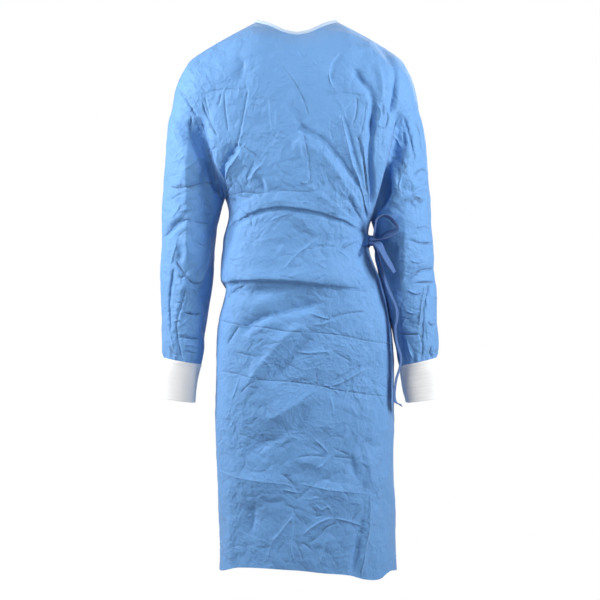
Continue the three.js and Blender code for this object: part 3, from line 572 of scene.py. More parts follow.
RIGHT_SLEEVE_FINE_CREASES = creases_of("""
    -2.4 6 6 -225,-196 -223,-218 -226,-238
    -2 6 6 -254,-182 -238,-190 -226,-198
    -1.4 5 5 -258,-356 -240,-352 -222,-358
    1.6 5 5 -234,-316 -214,-300 -190,-292
    1.2 5 5 -264,-300 -248,-296 -232,-284
    -1.2 5 5 -266,-382 -250,-372 -238,-368
    1.4 5 5 -262,-420 -250,-404 -246,-388
    -1.4 5 5 -222,-426 -200,-432 -178,-430
    -1.2 5 5 -216,-470 -200,-478 -188,-470
    1.6 5 5 -254,-474 -262,-496 -268,-518
    -1.8 5 5 -252,-540 -242,-546 -232,-530
    1.4 5 5 -226,-566 -214,-574 -206,-590
    -1.2 4 4 -258,-598 -246,-600 -238,-594
    1.2 4 4 -262,-640 -250,-636 -242,-640
    1.6 5 5 -276,-650 -266,-678 -262,-700
    -1.8 5 5 -272,-690 -262,-706 -250,-712
    1.2 4 4 -240,-688 -222,-690 -206,-694
    -1.2 4 4 -238,-702 -220,-706 -204,-708
""")

LEFT_SLEEVE_CREASES = creases_of("""
    fold down the upper arm: 5 16 24 196,-236 199,-300 210,-350 226,-392
    deep line beside the fold: -12 14 4 216,-150 208,-222 192,-306 174,-402
    hollow beside the fold: -10 26 22 soft 178,-296 184,-350 178,-404
    shade over the bow: -5 16 20 soft 190,-418 222,-398 246,-392 262,-410
    light over that shade: 3.5 12 12 soft 206,-404 232,-384 258,-374
    press down the sleeve: 5 40 26 230,-420 228,-471 228,-540 222,-590
    inner hollow: -6 22 20 soft 196,-470 198,-530 200,-590
    armhole wrinkle 1: -4 6 6 226,-206 236,-240 244,-270 250,-298
    armhole wrinkle 2: 4 7 6 204,-240 214,-258 224,-272
    armhole wrinkle 3: -3.6 6 6 198,-262 212,-290 232,-316
    elbow fold: -4.5 9 9 226,-556 240,-544 262,-532 294,-527
    light over the elbow fold: 3 14 10 soft 232,-530 256,-518 284,-514
    forearm crease: -3 7 7 281,-560 274,-584 268,-620 265,-680
    forearm crest: 3 8 12 272,-560 264,-600 258,-650
    forearm press: -2.4 8 8 212,-664 236,-667 262,-666
    corner under that press: -2 6 6 260,-664 266,-690 264,-716
    light crease to the cuff: 2 6 6 232,-676 238,-700 246,-720
    inner edge shade: -4 12 12 soft 214,-600 212,-650 222,-700
""")
LEFT_SLEEVE_FINE_CREASES = creases_of("""
    -2.9 5 5 225,-238 228,-264
    2.9 5 5 210,-172 212,-160 218,-144
    1.8 6 6 226,-382 246,-372 262,-378 270,-390
    -1.6 6 6 240,-390 252,-380 262,-388 270,-378
    -3.5 6 5 236,-468 262,-474 290,-474
    -2.2 5 5 244,-560 268,-556 292,-556
    1.9 5 5 238,-508 254,-514 270,-508
    2.2 5 5 234,-572 252,-580 268,-574
    -1.9 5 5 246,-330 262,-318 276,-322
    1.9 5 5 222,-330 216,-352 222,-372
    -1.9 4 4 252,-216 262,-246 264,-276
    1.9 4 4 230,-616 246,-622 258,-616
    -1.9 4 4 276,-640 286,-648 294,-644
    -2.6 5 5 284,-690 282,-706 286,-716
    1.9 4 4 250,-440 272,-436 284,-442
""")

# The back has like ones: the same packing presses, drags to the waist tie and crumples, across and up.
BACK_CREASES = creases_of("""
    press across the shoulders: -2 26 26 -210,-158 -100,-150 0,-146 110,-150 214,-160
    press under the shoulders: -2.4 28 26 -150,-372 -60,-362 30,-366 150,-372
    back swag: 7 44 18 soft -146,-470 -90,-424 -10,-404 80,-416 150,-446
    shade under the swag: -6 16 32 soft -150,-492 -92,-452 -10,-430 80,-440 146,-460
    edge of the blouse: 4 40 9 step -156,-556 -60,-560 40,-554 120,-560 168,-566
    press B: -2.4 32 32 -160,-640 -60,-652 40,-650 200,-676
    press C: -2.4 32 32 -166,-748 -40,-756 80,-770 202,-790
    press D: 3.5 38 34 -166,-960 -60,-972 70,-984 206,-1000
    middle press, upper: 2.5 26 26 14,-120 16,-240 12,-400
    middle press, lower: 3 30 30 10,-580 14,-760 8,-960 12,-1150
    drag to the tie 1: -6 18 20 soft 30,-250 78,-312 118,-378 142,-440
    drag to the tie 2: 5 10 18 70,-240 106,-310 132,-380 146,-436
    drag from the right arm: -6 18 22 soft -136,-300 -96,-350 -60,-408
    skirt hollow 1: -6 30 30 soft 100,-620 40,-660 -30,-700 -110,-730
    skirt crest 1: 5 30 30 soft 120,-690 50,-730 -20,-790 -90,-850
    skirt hollow 2: -5 40 40 soft -20,-850 40,-900 110,-930
    right corner: 4 26 26 -130,-590 -136,-760 -134,-960 -132,-1150
    left corner: 4 28 28 160,-640 170,-800 168,-960 170,-1150
""")


# Creases that are drawn as crisp lines too: packing presses and the edges of folds.
FRONT_EDGES = creases_of("""
    swag's edge: 0 0 0 -140,-444 -117,-426 -83,-408 -53,-400 -30,-398 6,-402 47,-410 70,-418 98,-427
        119,-439
    line under the blouse: 0 0 0 -172,-560 -146,-560 -111,-556 -17,-558 51,-564 91,-569 151,-576
""")


def lines_of(creases, *names):
    """The creases with these names, in their own order."""
    return [crease for crease in creases if crease.name in names]


def lines_at(creases, heights):
    """The named creases with heights of their own, in the order of the heights."""
    named = {crease.name: crease for crease in creases}
    return [named[name]._replace(out=out) for name, out in heights.items()]


FRONT_LINES = lines_of(
    FRONT_CREASES, "long drag to the tie, furrow", "second drag, crest", "third drag, furrow",
    "third drag, crest", "short drag, furrow", "crest beside that trough", "fold by the left chest",
    "drag under the tuck", "left corner, lower", "dent at the tie", "fold into the dent",
) + lines_at(FRONT_CREASES + FRONT_EDGES, {
    "swag's edge": -1.6,
    "press B": -1.2,
    "press C": -1.3,
    "press D, right": 1.0,
    "press D, left": 1.0,
    "line under the blouse": -1.2,
    "press across the chest, right": -0.8,
    "press across the chest, left": -0.8,
    "press under the chest": -1.0,
})
RIGHT_SLEEVE_LINES = lines_of(
    RIGHT_SLEEVE_CREASES, "deep line beside the fold", "upper press", "elbow fold",
    "edge of the forearm plane", "crossing below it", "dark crease down the forearm", "long forearm crease",
    "forearm press 1", "forearm press 2",
)
LEFT_SLEEVE_LINES = lines_of(
    LEFT_SLEEVE_CREASES, "deep line beside the fold", "armhole wrinkle 1", "armhole wrinkle 2",
    "armhole wrinkle 3", "elbow fold", "forearm crease", "forearm crest", "forearm press",
    "corner under that press", "light crease to the cuff",
)
BACK_LINES = lines_of(
    BACK_CREASES, "press across the shoulders", "press under the shoulders", "edge of the blouse", "press B",
    "press C", "press D", "middle press, upper", "middle press, lower",
)


def stretch_of(creases, first, last):
    """The creases from one name to another."""
    names = [crease.name for crease in creases]
    return creases[names.index(first):names.index(last) + 1]


def polyline(points, per_span=6):
    """More points along a crease's line, on a smooth curve through those given."""
    spans = len(points) - 1
    return cubic(np.arange(spans + 1.0), points, np.linspace(0, spans, spans * per_span + 1))


def nearest_on(points, spot, reach):
    """The spots within reach of a line: their numbers, their distances from it, which are on its left, how
    far along it they are, and its length."""
    low, high = points.min(0) - reach, points.max(0) + reach
    near = np.nonzero(np.all((spot > low) & (spot < high), -1))[0]
    start, span = points[:-1], np.diff(points, axis=0)
    length = np.linalg.norm(span, axis=1)
    offset = spot[near, None] - start
    along = np.clip((offset * span).sum(-1) / length ** 2, 0, 1)
    away = offset - along[..., None] * span
    distance = np.hypot(away[..., 0], away[..., 1])
    nearest = distance.argmin(1)
    rows = np.arange(near.size)
    ahead, gap = span[nearest], away[rows, nearest]
    on_left = ahead[:, 0] * gap[:, 1] - ahead[:, 1] * gap[:, 0] > 0
    place = np.r_[0, np.cumsum(length)][nearest] + along[rows, nearest] * length[nearest]
    return near, distance[rows, nearest], on_left, place, length.sum()


def strength_along(place, length, breadth, phase):
    """How strong a crease is along its line: nothing at its ends, and uneven in between."""
    fade = np.clip(breadth * 0.9, min(length / 3, 14), length / 2.2)
    ends = ease((place + 2) / fade) * ease((length + 2 - place) / fade)
    pace = max(breadth, 12)
    return ends * (1 + 0.16 * np.sin(place / pace + phase) + 0.1 * np.sin(place / pace * 2.7 + 2 * phase))


def crease_height(spot, creases, seed):
    """The height of the creases at each spot, across and up. On its line a crease has its full height. To
    each side it falls off over its half width: a soft one as a bell, a sharp one as a tent whose slopes are
    hollow, and a step goes out on the left and in on the right. A drag is a tent that narrows towards the
    end of its line."""
    phases = np.random.default_rng(seed).uniform(0, 6, len(creases))
    height = np.zeros(spot[..., 0].size)
    flat = spot.reshape(-1, 2)
    for (_, out, left, right, kind, points), phase in zip(creases, phases):
        near, distance, on_left, place, length = nearest_on(polyline(points), flat, max(left, right))
        narrowing = mix(1, 0.45, place / length) if kind == DRAG else 1
        share = np.minimum(distance / np.where(on_left, left, right) / narrowing, 1)
        if kind == SOFT:
            shape = (1 - share ** 2) ** 2
        elif kind == STEP:
            shape = (1 - share) ** 2 * np.tanh(np.where(on_left, distance, -distance) / 2.5)
        else:
            shape = (1 - share) ** 1.7 * narrowing
        breadth = 14 if kind == DRAG else left + right
        height[near] += out * shape * strength_along(place, length, breadth, phase)
    return height.reshape(spot.shape[:-1])


LINE_REACH = 9
LINE_DEPTH = 2.5


def crease_lines(spot, creases, seed):
    """For each spot, its distance from the nearest crease line, with a sign for the side and without, and how
    far that line stands out there. Materials draw creases from these as bumps, crisper than the mesh, with
    painted shade in the furrows and a paler colour on the ridges, partly wear and partly painted highlight."""
    phases = np.random.default_rng(seed + 7).uniform(0, 6, len(creases))
    flat = spot.reshape(-1, 2)
    away = np.full(len(flat), float(LINE_REACH))
    side, depth = away.copy(), np.zeros(len(flat))
    for crease, phase in zip(creases, phases):
        near, distance, on_left, place, length = nearest_on(polyline(crease.points), flat, LINE_REACH)
        closer = distance < away[near]
        near, distance, on_left, place = near[closer], distance[closer], on_left[closer], place[closer]
        away[near] = distance
        side[near] = np.where(on_left, distance, -distance)
        depth[near] = np.clip(crease.out, -LINE_DEPTH, LINE_DEPTH) * strength_along(place, length, 12, phase)
    return {"line side": side, "line away": away, "line depth": depth}


def strewn(seed, count, low, high, lean, spread, length=(12, 46), out=(0.2, 0.8)):
    """Short sharp creases strewn between two corners, a little bent, leaning about one way, in degrees."""
    rng = np.random.default_rng(seed)
    creases = []
    for _ in range(count):
        middle = rng.uniform(low, high)
        angle = np.radians(rng.normal(lean, spread))
        half = rng.uniform(*length) / 2 * np.array([np.cos(angle), np.sin(angle)])
        bend = rng.normal(0, 0.1) * np.array([-half[1], half[0]])
        points = np.round([middle - half, middle + bend, middle + half], 1)
        height = rng.uniform(*out) * rng.choice([-1, 1])
        creases.append(Crease("strewn", height, *rng.uniform(3.5, 7.5, 2), SHARP, points))
    return creases


def billow(points, seed, out, wavelength):
    """Soft unevenness of the cloth: a sum of waves in random directions, about that long."""
    rng = np.random.default_rng(seed)
    waves = 10
    directions = unit(rng.normal(size=(waves, 3)))
    sizes = rng.uniform(0.7, 1.6, waves) * wavelength
    phases = rng.uniform(0, 6.28, waves)
    turns = points @ (directions / sizes[:, None] * 2 * np.pi).T
    return out * np.sin(turns + phases).sum(-1) / np.sqrt(waves)


def as_seen(points):
    """Where points seem to be from the camera, across and up, on the plane of the side seams."""
    nearer = 1 + points[..., 1] / -CAMERA["y"]
    across = CAMERA["x"] + (points[..., 0] - CAMERA["x"]) / nearer
    up = CAMERA["z"] + (points[..., 2] - CAMERA["z"]) / nearer
    return np.stack([across, up], -1)


def fold_back(at):
    """How far the front's edge and the seam under it are rolled back, down the armhole from 0 to 1."""
    return FOLD_ROLL * ease((at - 0.4) / 0.16) * ease((1 - at) / 0.14)


def from_borders(across, height, top):
    """Nothing at a panel's top edge and side seams, one a little way in."""
    return ease((1 - np.abs(across)) / 0.035) * ease((top + 2 - height) / 26)


def overhang(grid, across):
    """The blouse over the waist overhangs the skirt: the right side goes out above the ledge, in below it."""
    from_ledge = grid[..., 2] - LEDGE["z"]
    step = np.tanh(from_ledge / 2) * (1 - np.minimum(np.abs(from_ledge) / LEDGE["reach"], 1)) ** 2
    grid[..., 0] -= LEDGE["out"] * step * ease((-across - 0.85) / 0.15)


# The panels.
def front_panel():
    """The front: its form, relaxed, with its edge rolled back beside the sleeves, and its creases along the
    normals. Rows run from the neck and shoulders to the hem, columns from the right side to the left."""
    spans, rows = 216, 391
    across = np.linspace(-1, 1, spans + 1)[None, :] * np.ones((rows, 1))
    top = NECKS["front"]["z"][0]
    height = np.linspace(top, MEAN_HEM, rows)[:, None] * np.ones((1, spans + 1))
    grid, down = body_form("front", across, height)
    above_underarm = height >= MEAN_UNDERARM
    edge = ease((np.abs(across) - 0.94) / 0.06)
    grid = relaxed(grid, 14)
    grid[..., 1] += np.where(above_underarm, fold_back(down), 0) * edge
    grid = relaxed(grid, 3)
    overhang(grid, across)
    outward = normals(grid, -1)
    spot = as_seen(grid)
    fine = FRONT_FINE_CREASES + strewn(3, 90, (-200, -380), (200, -120), 80, 40)
    fine += strewn(4, 60, (-150, -560), (150, -400), 10, 50)
    fine += strewn(5, 150, (-165, -1150), (200, -580), 30, 60)
    raised = crease_height(spot, FRONT_CREASES + fine, 1)
    raised += billow(grid, 2, 1.1, 95) + billow(grid, 3, 0.35, 30)
    raised = raised * from_borders(across, height, top)
    grid = grid + outward * raised[..., None]
    return Cloth(grid, outward, -1, False, crease_lines(spot, FRONT_LINES + fine, 1))


def back_panel(own, column, other, stand, seed):
    """A back panel, from its side seam, -1 or 1, past the middle of the back to its free edge. Where the
    panels lap it stands out from the garment's form, or in, and both have the same creases, so that neither
    cuts the other."""
    at_shoulder, past_neck, rows = 66, 78, 301
    top = NECKS["back"]["z"][0]
    height = np.linspace(top, MEAN_HEM, rows)[:, None]
    free = smooth(FREE_EDGES, "z", column, height)
    limit = own * smooth(FREE_EDGES, "z", other, height)
    outer = mix(own, own * NECK_END, np.linspace(0, 1, at_shoulder + 1))[None, :] * np.ones((rows, 1))
    inner = mix(own * NECK_END, free, np.linspace(0, 1, past_neck + 1)[None, 1:])
    across = np.concatenate([outer, inner], 1)
    height = height * np.ones_like(across)
    grid, _ = body_form("back", across, height)
    grid = relaxed(grid, 14)
    overhang(grid, across)
    outward = normals(grid, -own)
    spot = grid[..., [0, 2]]
    fine = strewn(seed, 200, (-200, -1140), (210, -90), 60, 60)
    raised = crease_height(spot, BACK_CREASES + fine, seed)
    raised += billow(grid, seed, 1.3, 100) + billow(grid, seed + 1, 0.35, 30)
    lift = stand * ease((limit + LAP_EASE - own * across) / LAP_EASE)
    grid = grid + outward * (raised * from_borders(across, height, top) + lift)[..., None]
    return Cloth(grid, outward, -own, False, crease_lines(spot, BACK_LINES + fine, seed))


def around(count):
    """Places round a ring: from its outer point (0) by the front to its inner point (1) and back behind."""
    turn = np.arange(count) / (count / 2)
    return np.minimum(turn, 2 - turn) ** ROW_CROWDING, turn > 1


def ring(rows, index, count, crowding, flatness=1):
    """A ring of a sleeve or cuff: an ellipse through its outer and inner points, as thick as its row says.
    A lower flatness makes its front and back flatter and its sides rounder."""
    out_x, out_z, in_x, in_z, mid_y, depth = (rows[name][index] for name in RING_COLUMNS.split())
    half, behind = around(count)
    half = half ** crowding
    angle = np.pi * np.where(behind, 2 - half, half)
    share = (1 - np.cos(angle)) / 2
    sine = np.sin(angle)
    depth = depth * np.sign(sine) * np.abs(sine) ** flatness
    return np.stack([mix(out_x, in_x, share), mid_y - depth, mix(out_z, in_z, share)], -1)


def sleeve(side, creases, lines, back_creases, seed):
    """A sleeve from its armhole to its cuff: a cubic through its rings. It falls back behind the fold that
    the front makes over it, and is gathered a little into the cuff."""
    count, rows = 180, 331
    half, behind = around(count)
    armhole = np.where(
        behind[:, None], point_of(ARMHOLES[side]["back"], half), point_of(ARMHOLES[side]["front"], half)
    )
    tube = SLEEVES[side]
    last = len(tube["depth"]) - 1
    rings = [
        ring(tube, k, count, mix(RING_CROWDING, 1, np.clip(k / CROWDED_RINGS, 0, 1))) for k in range(last + 1)
    ]
    front = np.where(behind, 0, 1)
    back_by = ARM_HOLLOW * ease((half - 0.35) / 0.25) * ease((1 - half) / 0.25) * front
    behind_fold = mix(armhole, rings[0], 0.4)
    behind_fold[:, 1] += back_by
    armhole = armhole.copy()
    armhole[:, 1] += fold_back(half) * front
    stack = np.array([armhole, behind_fold, *rings])
    keys = far_along(stack)
    place = np.linspace(0, keys[-1], rows)
    grid = relaxed(cubic(keys, stack, place), 10, closed=True)
    facing = -1 if side == "right" else 1
    outward = normals(grid, facing, closed=True)
    spot = as_seen(grid)
    low, high = spot.reshape(-1, 2).min(0), spot.reshape(-1, 2).max(0)
    in_front = ease((0.35 - outward[..., 1]) / 0.4)
    fine = strewn(seed, 60, low, high, 20, 60)
    raised = crease_height(spot, creases + fine, seed) * in_front
    behind_creases = back_creases + strewn(seed + 1, 70, low, high, 20, 60)
    raised += crease_height(spot, behind_creases, seed + 1) * (1 - in_front)
    lines = crease_lines(spot, lines + fine, seed)
    lines_behind = crease_lines(spot, behind_creases, seed + 1)
    seen = (in_front > 0.5).ravel()
    lines = {name: np.where(seen, lines[name], lines_behind[name]) for name in lines}
    raised += billow(grid, seed, 1.2, 80) + billow(grid, seed + 1, 0.4, 26)
    to_cuff = (place[-1] - place)[:, None]
    turn = np.arange(count) / count * 2 * np.pi
    gathers = np.sin(13 * turn + seed) + 0.7 * np.sin(21 * turn + 2 * seed)
    raised = raised * ease(place / 14)[:, None] * ease(to_cuff / 16)
    raised += 1.1 * gathers * np.exp(-((to_cuff - 9) / 11) ** 2)
    return Cloth(grid + outward * raised[..., None], outward, facing, True, lines)


def cuff(side, seed):
    """A knitted cuff: rings down from the sleeve's seam, with upright ribs, a rolled edge, soft creases."""
    count, rows = 432, 61
    tube = CUFFS[side]
    last = len(tube["depth"])
    stack = np.array([ring(tube, k, count, 1, CUFF_FLATNESS[k]) for k in range(last)])
    keys = np.arange(last, dtype=float)
    share = np.linspace(0, 1, rows)[:, None]
    grid = cubic(keys, stack, np.linspace(0, last - 1, rows))
    facing = -1 if side == "right" else 1
    outward = normals(grid, facing, closed=True)
    ribs = CUFF_RIB["height"] * np.cos(np.arange(count) * 2 * np.pi / CUFF_RIB["points"])
    raised = ribs * ease(share / 0.06) * ease((1 - share) / 0.03)
    seam_roll = 0.8 * np.exp(-((share - 0.05) / 0.035) ** 2)
    edge_roll = 0.5 * np.exp(-((share - 0.975) / 0.02) ** 2)
    raised = raised + seam_roll + edge_roll + billow(grid, seed, 0.4, 34)
    rng = np.random.default_rng(seed)
    for place in CUFF_CREASES:
        slope = rng.uniform(-0.03, 0.03) * np.cos(np.arange(count) / count * 2 * np.pi)
        raised -= rng.uniform(0.15, 0.4) * np.exp(-((share - place - slope) / 0.018) ** 2)
    return Cloth(grid + outward * raised[..., None], outward, facing, True, {})


# The ties, by rows along them: the middle of the tie, and from there to one of its edges.
TIE_COLUMNS = "x y z edge_x edge_y edge_z"
LOOP_UPPER = table(TIE_COLUMNS, """
    160 -54 -464   1  5  0
    162 -68 -452   2 10  0
    164 -76 -436   2 11  0
    166 -79 -427   2 11  0
    171 -80 -423   0 11 -2
    182 -80 -420  -1 11 -2
    193 -80 -425  -2 11 -2
    204 -79 -437  -2 11 -1
    208 -79 -444  -2 11  1
    204 -78 -450  -4 11  3
    193 -76 -455  -6 11  5
    182 -70 -461  -4 10  5
    172 -63 -466   0  8  2
    160 -56 -468   0  5  1
""")
LOOP_LOWER = table(TIE_COLUMNS, """
    158 -57 -473   3  2  3
    170 -76 -480   5  7  5
    178 -83 -498   5  9  3
    188 -86 -516   5 10  3
    197 -85 -530   4 10  2
    201 -79 -537   3 10  2
    198 -73 -530   4 10  2
    184 -69 -507   6  9  4
    172 -62 -486   5  6  4
    160 -53 -474   3  2  2
""")
TIE_END = table(TIE_COLUMNS, """
    157 -54 -475   1  5  0
    166 -57 -497   3 10  0
    176 -60 -530   3 12  0
    190 -64 -574   3.2 12  0
    205 -68 -608   3.2 12  0
    207 -70 -632   3 12  0
    203 -71 -652   2.6 12  0
    207 -72 -686   3 12  0
    215 -73 -713   3 12  0
    212 -74 -734   3 12  0
    205 -74 -757   3 12  0
    201 -75 -790   3 12  0
    203 -76 -805   3.4 12 -1
    217 -76 -813   2 11 -3
""")
FRONT_TIE_END = (153, -56, -469.9, 1, 1, 7)
BACK_TIE_END = (159, -46, -469, 0, 0, 7)
KNOT = {"middle": (156, -51, -470), "half": (8, 9, 11), "square": 2.6, "folds": 0.07}
TIE_THICKNESS = 1.2
WRINKLE_SPACING = 22  # the length of tie that has one cross wrinkle
TIE_STAND = 1.7  # how far a tie's outer side stands off the panel it lies on
SEWN_STAND = 0.25  # the same where it is sewn down
# The paler colour of a tie's edges is a painted highlight, drawn by the crisp creases' ridges.
EDGE_RIDGE_AND_HIGHLIGHT = 3.4  # a tie's sewn edges stand out, paler than its face
WAIST_HEIGHTS = (-431, -459)  # mean heights of a waist tie's edges where it lies on a panel


def ribbon(rows, seed, across=7, per_span=14):
    """A tie's grid: a strip between two edges, whose middle and edges follow cubics through the rows. It is
    a little cupped, with a few faint cross wrinkles."""
    data = np.stack([rows[name] for name in TIE_COLUMNS.split()], -1)
    keys = far_along(data[:, :3])
    place = np.linspace(0, keys[-1], 3 * (per_span * (len(keys) - 1) // 3) + 1)
    line = cubic(keys, data, place)
    side = np.linspace(-1, 1, across)[None, :, None]
    grid = line[:, None, :3] + side * line[:, None, 3:]
    outward = normals(grid, 1)
    rng = np.random.default_rng(seed)
    wrinkles = np.zeros((len(place), across))
    for _ in range(int(keys[-1] / WRINKLE_SPACING)):
        middle = rng.uniform(8, keys[-1] - 8) + 5 * rng.normal() * side[0, :, 0]
        wrinkles += rng.uniform(-0.7, 0.7) * np.exp(-((place[:, None] - middle) / 2.2) ** 2)
    cupped = -0.9 * side[..., 0] ** 2 + wrinkles
    # Each edge is a crisp ridge line: a bump, and a paler colour there as painted highlight.
    from_edge = (1 - np.abs(side[..., 0])) * np.linalg.norm(line[:, 3:], axis=1)[:, None]
    ridge = np.full(from_edge.size, EDGE_RIDGE_AND_HIGHLIGHT)
    edges = {"line side": from_edge.ravel(), "line away": from_edge.ravel(), "line depth": ridge}
    return Cloth(grid + outward * (cupped + TIE_THICKNESS / 2)[..., None], outward, 1, False, edges)


def at_heights(panel, top, heights, columns, across=7):
    """A panel's points and directions out, between two mean heights, in some of its columns."""
    step = (top - MEAN_HEM) / (panel.grid.shape[0] - 1)
    rows = (top - np.linspace(heights[0], heights[1], across)) / step
    i = np.floor(rows).astype(int)
    t = (rows - i)[:, None, None]

    def between_rows(grid):
        return mix(grid[i][:, columns], grid[i + 1][:, columns], t).transpose(1, 0, 2)

    return between_rows(panel.grid), between_rows(panel.outward)


def waist_tie(stretches, end, sewn=1):
    """A tie that is sewn down flat in its first columns, lies on panels, a hair above them, and then leaves
    them for the knot."""
    laid = []
    for panel, top, columns in stretches:
        points, outward = at_heights(panel, top, WAIST_HEIGHTS, columns)
        free = 1 if laid else np.clip(np.arange(len(columns)) / sewn, 0, 1)
        laid.append(points + outward * np.reshape(mix(SEWN_STAND, TIE_STAND, free), (-1, 1, 1)))
    laid = np.concatenate(laid)
    x, y, z, edge_x, edge_y, edge_z = end
    side = np.linspace(1, -1, laid.shape[1])[:, None]
    last = np.array([x, y, z]) + side * np.array([edge_x, edge_y, edge_z])
    stack = np.concatenate([laid, last[None]])
    keys = far_along(stack)
    grid = relaxed(cubic(keys, stack, np.linspace(0, keys[-1], 3 * int(keys[-1] / 5) + 1)), 4)
    return Cloth(grid, normals(grid, 1), 1, False, {})


def neck_binding(front, lapping, under):
    """The tape folded over the neck edge, from the under panel's free edge round the front to the lapping
    panel's: a rounded section swept along the edge, which leans in, with a row of stitches near its foot."""
    start, right_end, left_end = 66, 72, 144
    foot = np.concatenate([
        under.grid[0, start:][::-1],
        front.grid[0, right_end:left_end + 1][::-1][1:-1],
        lapping.grid[0, start:],
    ])
    keys = far_along(foot)
    count = 2 * int(keys[-1]) + 1
    place = np.linspace(0, keys[-1], count)
    line = cubic(keys, foot, place)
    for _ in range(120):
        line[1:-1] = (line[:-2] + 2 * line[1:-1] + line[2:]) / 4
    lean = unit(np.stack([-0.3 * line[:, 0], -0.3 * line[:, 1], np.full(count, 60.0)], -1))
    out = unit(np.cross(np.gradient(line, axis=0), lean))
    out *= np.sign((out[:, :2] * line[:, :2]).sum(1).mean())
    turn = np.arange(28) / 28 * 2 * np.pi
    up = NECK_TAPE / 2 * (1 + np.sign(np.sin(turn)) * np.abs(np.sin(turn)) ** 0.55) - 1.2
    thick = 1.25 * np.sign(np.cos(turn)) * np.abs(np.cos(turn)) ** 0.6
    stitch = 0.28 * np.exp(-((up - 0.4) / 0.5) ** 2) * (thick > 0)
    rise = 0.5 + 0.5 * np.cos(place / 2.6 * 2 * np.pi)
    thick = thick[None, :] + stitch[None, :] * rise[:, None] ** 0.5
    grid = line[:, None] + lean[:, None] * up[None, :, None] + out[:, None] * thick[..., None]
    return grid + billow(grid, 8, 0.25, 30)[..., None] * out[:, None]


def knot():
    """The bow's knot: a rounded block wrapped by the tie, whose turns show as slanting folds."""
    across, around_it = 49, 96
    polar = np.linspace(0, np.pi, across)[:, None]
    turn = np.arange(around_it)[None, :] / around_it * 2 * np.pi
    ball = [np.sin(polar) * np.cos(turn), np.sin(polar) * np.sin(turn), np.cos(polar)]
    ball = np.stack(np.broadcast_arrays(*ball), -1)
    square = KNOT["square"]
    block = ball / (np.abs(ball) ** square).sum(-1, keepdims=True) ** (1 / square)
    x, z = block[..., 0], block[..., 2]
    folds = np.sin(z * 5.2 + x * 2.2 + 0.6) + 0.5 * np.sin(x * 9 - z * 4)
    block = block * (1 + KNOT["folds"] * folds * np.sin(polar) ** 2)[..., None]
    return block * np.array(KNOT["half"]) + np.array(KNOT["middle"])


# Meshes.
def placed(name, data):
    """A new object of the scene."""
    thing = bpy.data.objects.new(name, data)
    bpy.context.scene.collection.objects.link(thing)
    return thing


def mesh_piece(name, points, numbers, faces, uv, material):
    """An object from points in millimetres. Its faces are groups of places in the cloth, and each place has
    the number of its point and a uv."""
    corners = np.concatenate([group.ravel() for group in faces])
    sizes = np.concatenate([np.full(len(group), group.shape[1]) for group in faces])
    mesh = bpy.data.meshes.new(name)
    mesh.vertices.add(len(points))
    mesh.vertices.foreach_set("co", (points * MM).ravel())
    mesh.loops.add(len(corners))
    mesh.loops.foreach_set("vertex_index", numbers[corners])
    mesh.polygons.add(len(sizes))
    mesh.polygons.foreach_set("loop_start", np.r_[0, np.cumsum(sizes)[:-1]])
    mesh.polygons.foreach_set("use_smooth", np.ones(len(sizes), bool))
    mesh.uv_layers.new(name="cloth").data.foreach_set("uv", (uv[corners] * MM).ravel())
    mesh.update()
    mesh.validate()
    mesh.set_sharp_from_angle(angle=np.radians(70))
    mesh.materials.append(material)
    return placed(name, mesh)


INNER_STEP = 3  # how many points of the outer side there are for one of the inner side


def positions(rows, columns, closed, first):
    """The number of each point of a grid, and of each place in it: a closed grid has its first column again
    at its end."""
    number = first + np.arange(rows * columns).reshape(rows, columns)
    return np.concatenate([number, number[:, :1]], 1) if closed else number


def quads(place):
    return np.stack([place[:-1, :-1], place[:-1, 1:], place[1:, 1:], place[1:, :-1]], -1).reshape(-1, 4)


def rim(outer, inner):
    """Faces between an edge of the outer side and that of the inner side, which has one step for
    INNER_STEP."""
    backwards = [outer[k::INNER_STEP][:len(inner) - 1] for k in range(INNER_STEP, -1, -1)]
    return np.stack([*backwards, inner[:-1], inner[1:]], -1)


def shell(name, cloth, material, thickness=CLOTH):
    """A piece of cloth as a closed shell: its outer side is the grid, its inner side is every few points of
    the grid, relaxed and moved in, and faces round the edge join them. A closed grid is a tube, open at
    both ends."""
    grid, closed = cloth.grid, cloth.closed
    rows, columns = grid.shape[:2]
    inner = (relaxed(grid, 3, closed) - cloth.outward * thickness)[::INNER_STEP, ::INNER_STEP]
    number_out = positions(rows, columns, closed, 0)
    number_in = positions(*inner.shape[:2], closed, rows * columns)
    round_it = np.concatenate([grid, grid[:, :1]], 1) if closed else grid
    place = np.stack(np.meshgrid(far_along(round_it.transpose(1, 0, 2)), -far_along(grid)), -1)
    place_out = np.arange(number_out.size).reshape(number_out.shape)
    place_in = number_out.size + np.arange(number_in.size).reshape(number_in.shape)
    faces = [
        quads(place_out), quads(place_in)[:, ::-1],
        rim(place_out[0], place_in[0]), rim(place_out[-1], place_in[-1])[:, ::-1],
    ]
    if not closed:
        faces += [rim(place_out[:, 0], place_in[:, 0])[:, ::-1], rim(place_out[:, -1], place_in[:, -1])]
    if cloth.facing < 0:
        faces = [group[:, ::-1] for group in faces]
    numbers = np.concatenate([number_out.ravel(), number_in.ravel()])
    uv = np.concatenate([place.reshape(-1, 2), place[::INNER_STEP, ::INNER_STEP].reshape(-1, 2)])
    points = np.concatenate([grid.reshape(-1, 3), inner.reshape(-1, 3)])
    piece = mesh_piece(name, points, numbers, faces, uv, material)
    for title, values in cloth.lines.items():
        plain = 0 if title == "line depth" else LINE_REACH
        values = np.r_[values, np.full(len(points) - len(values), plain)]
        piece.data.attributes.new(title, "FLOAT", "POINT").data.foreach_set("value", values)
    return piece


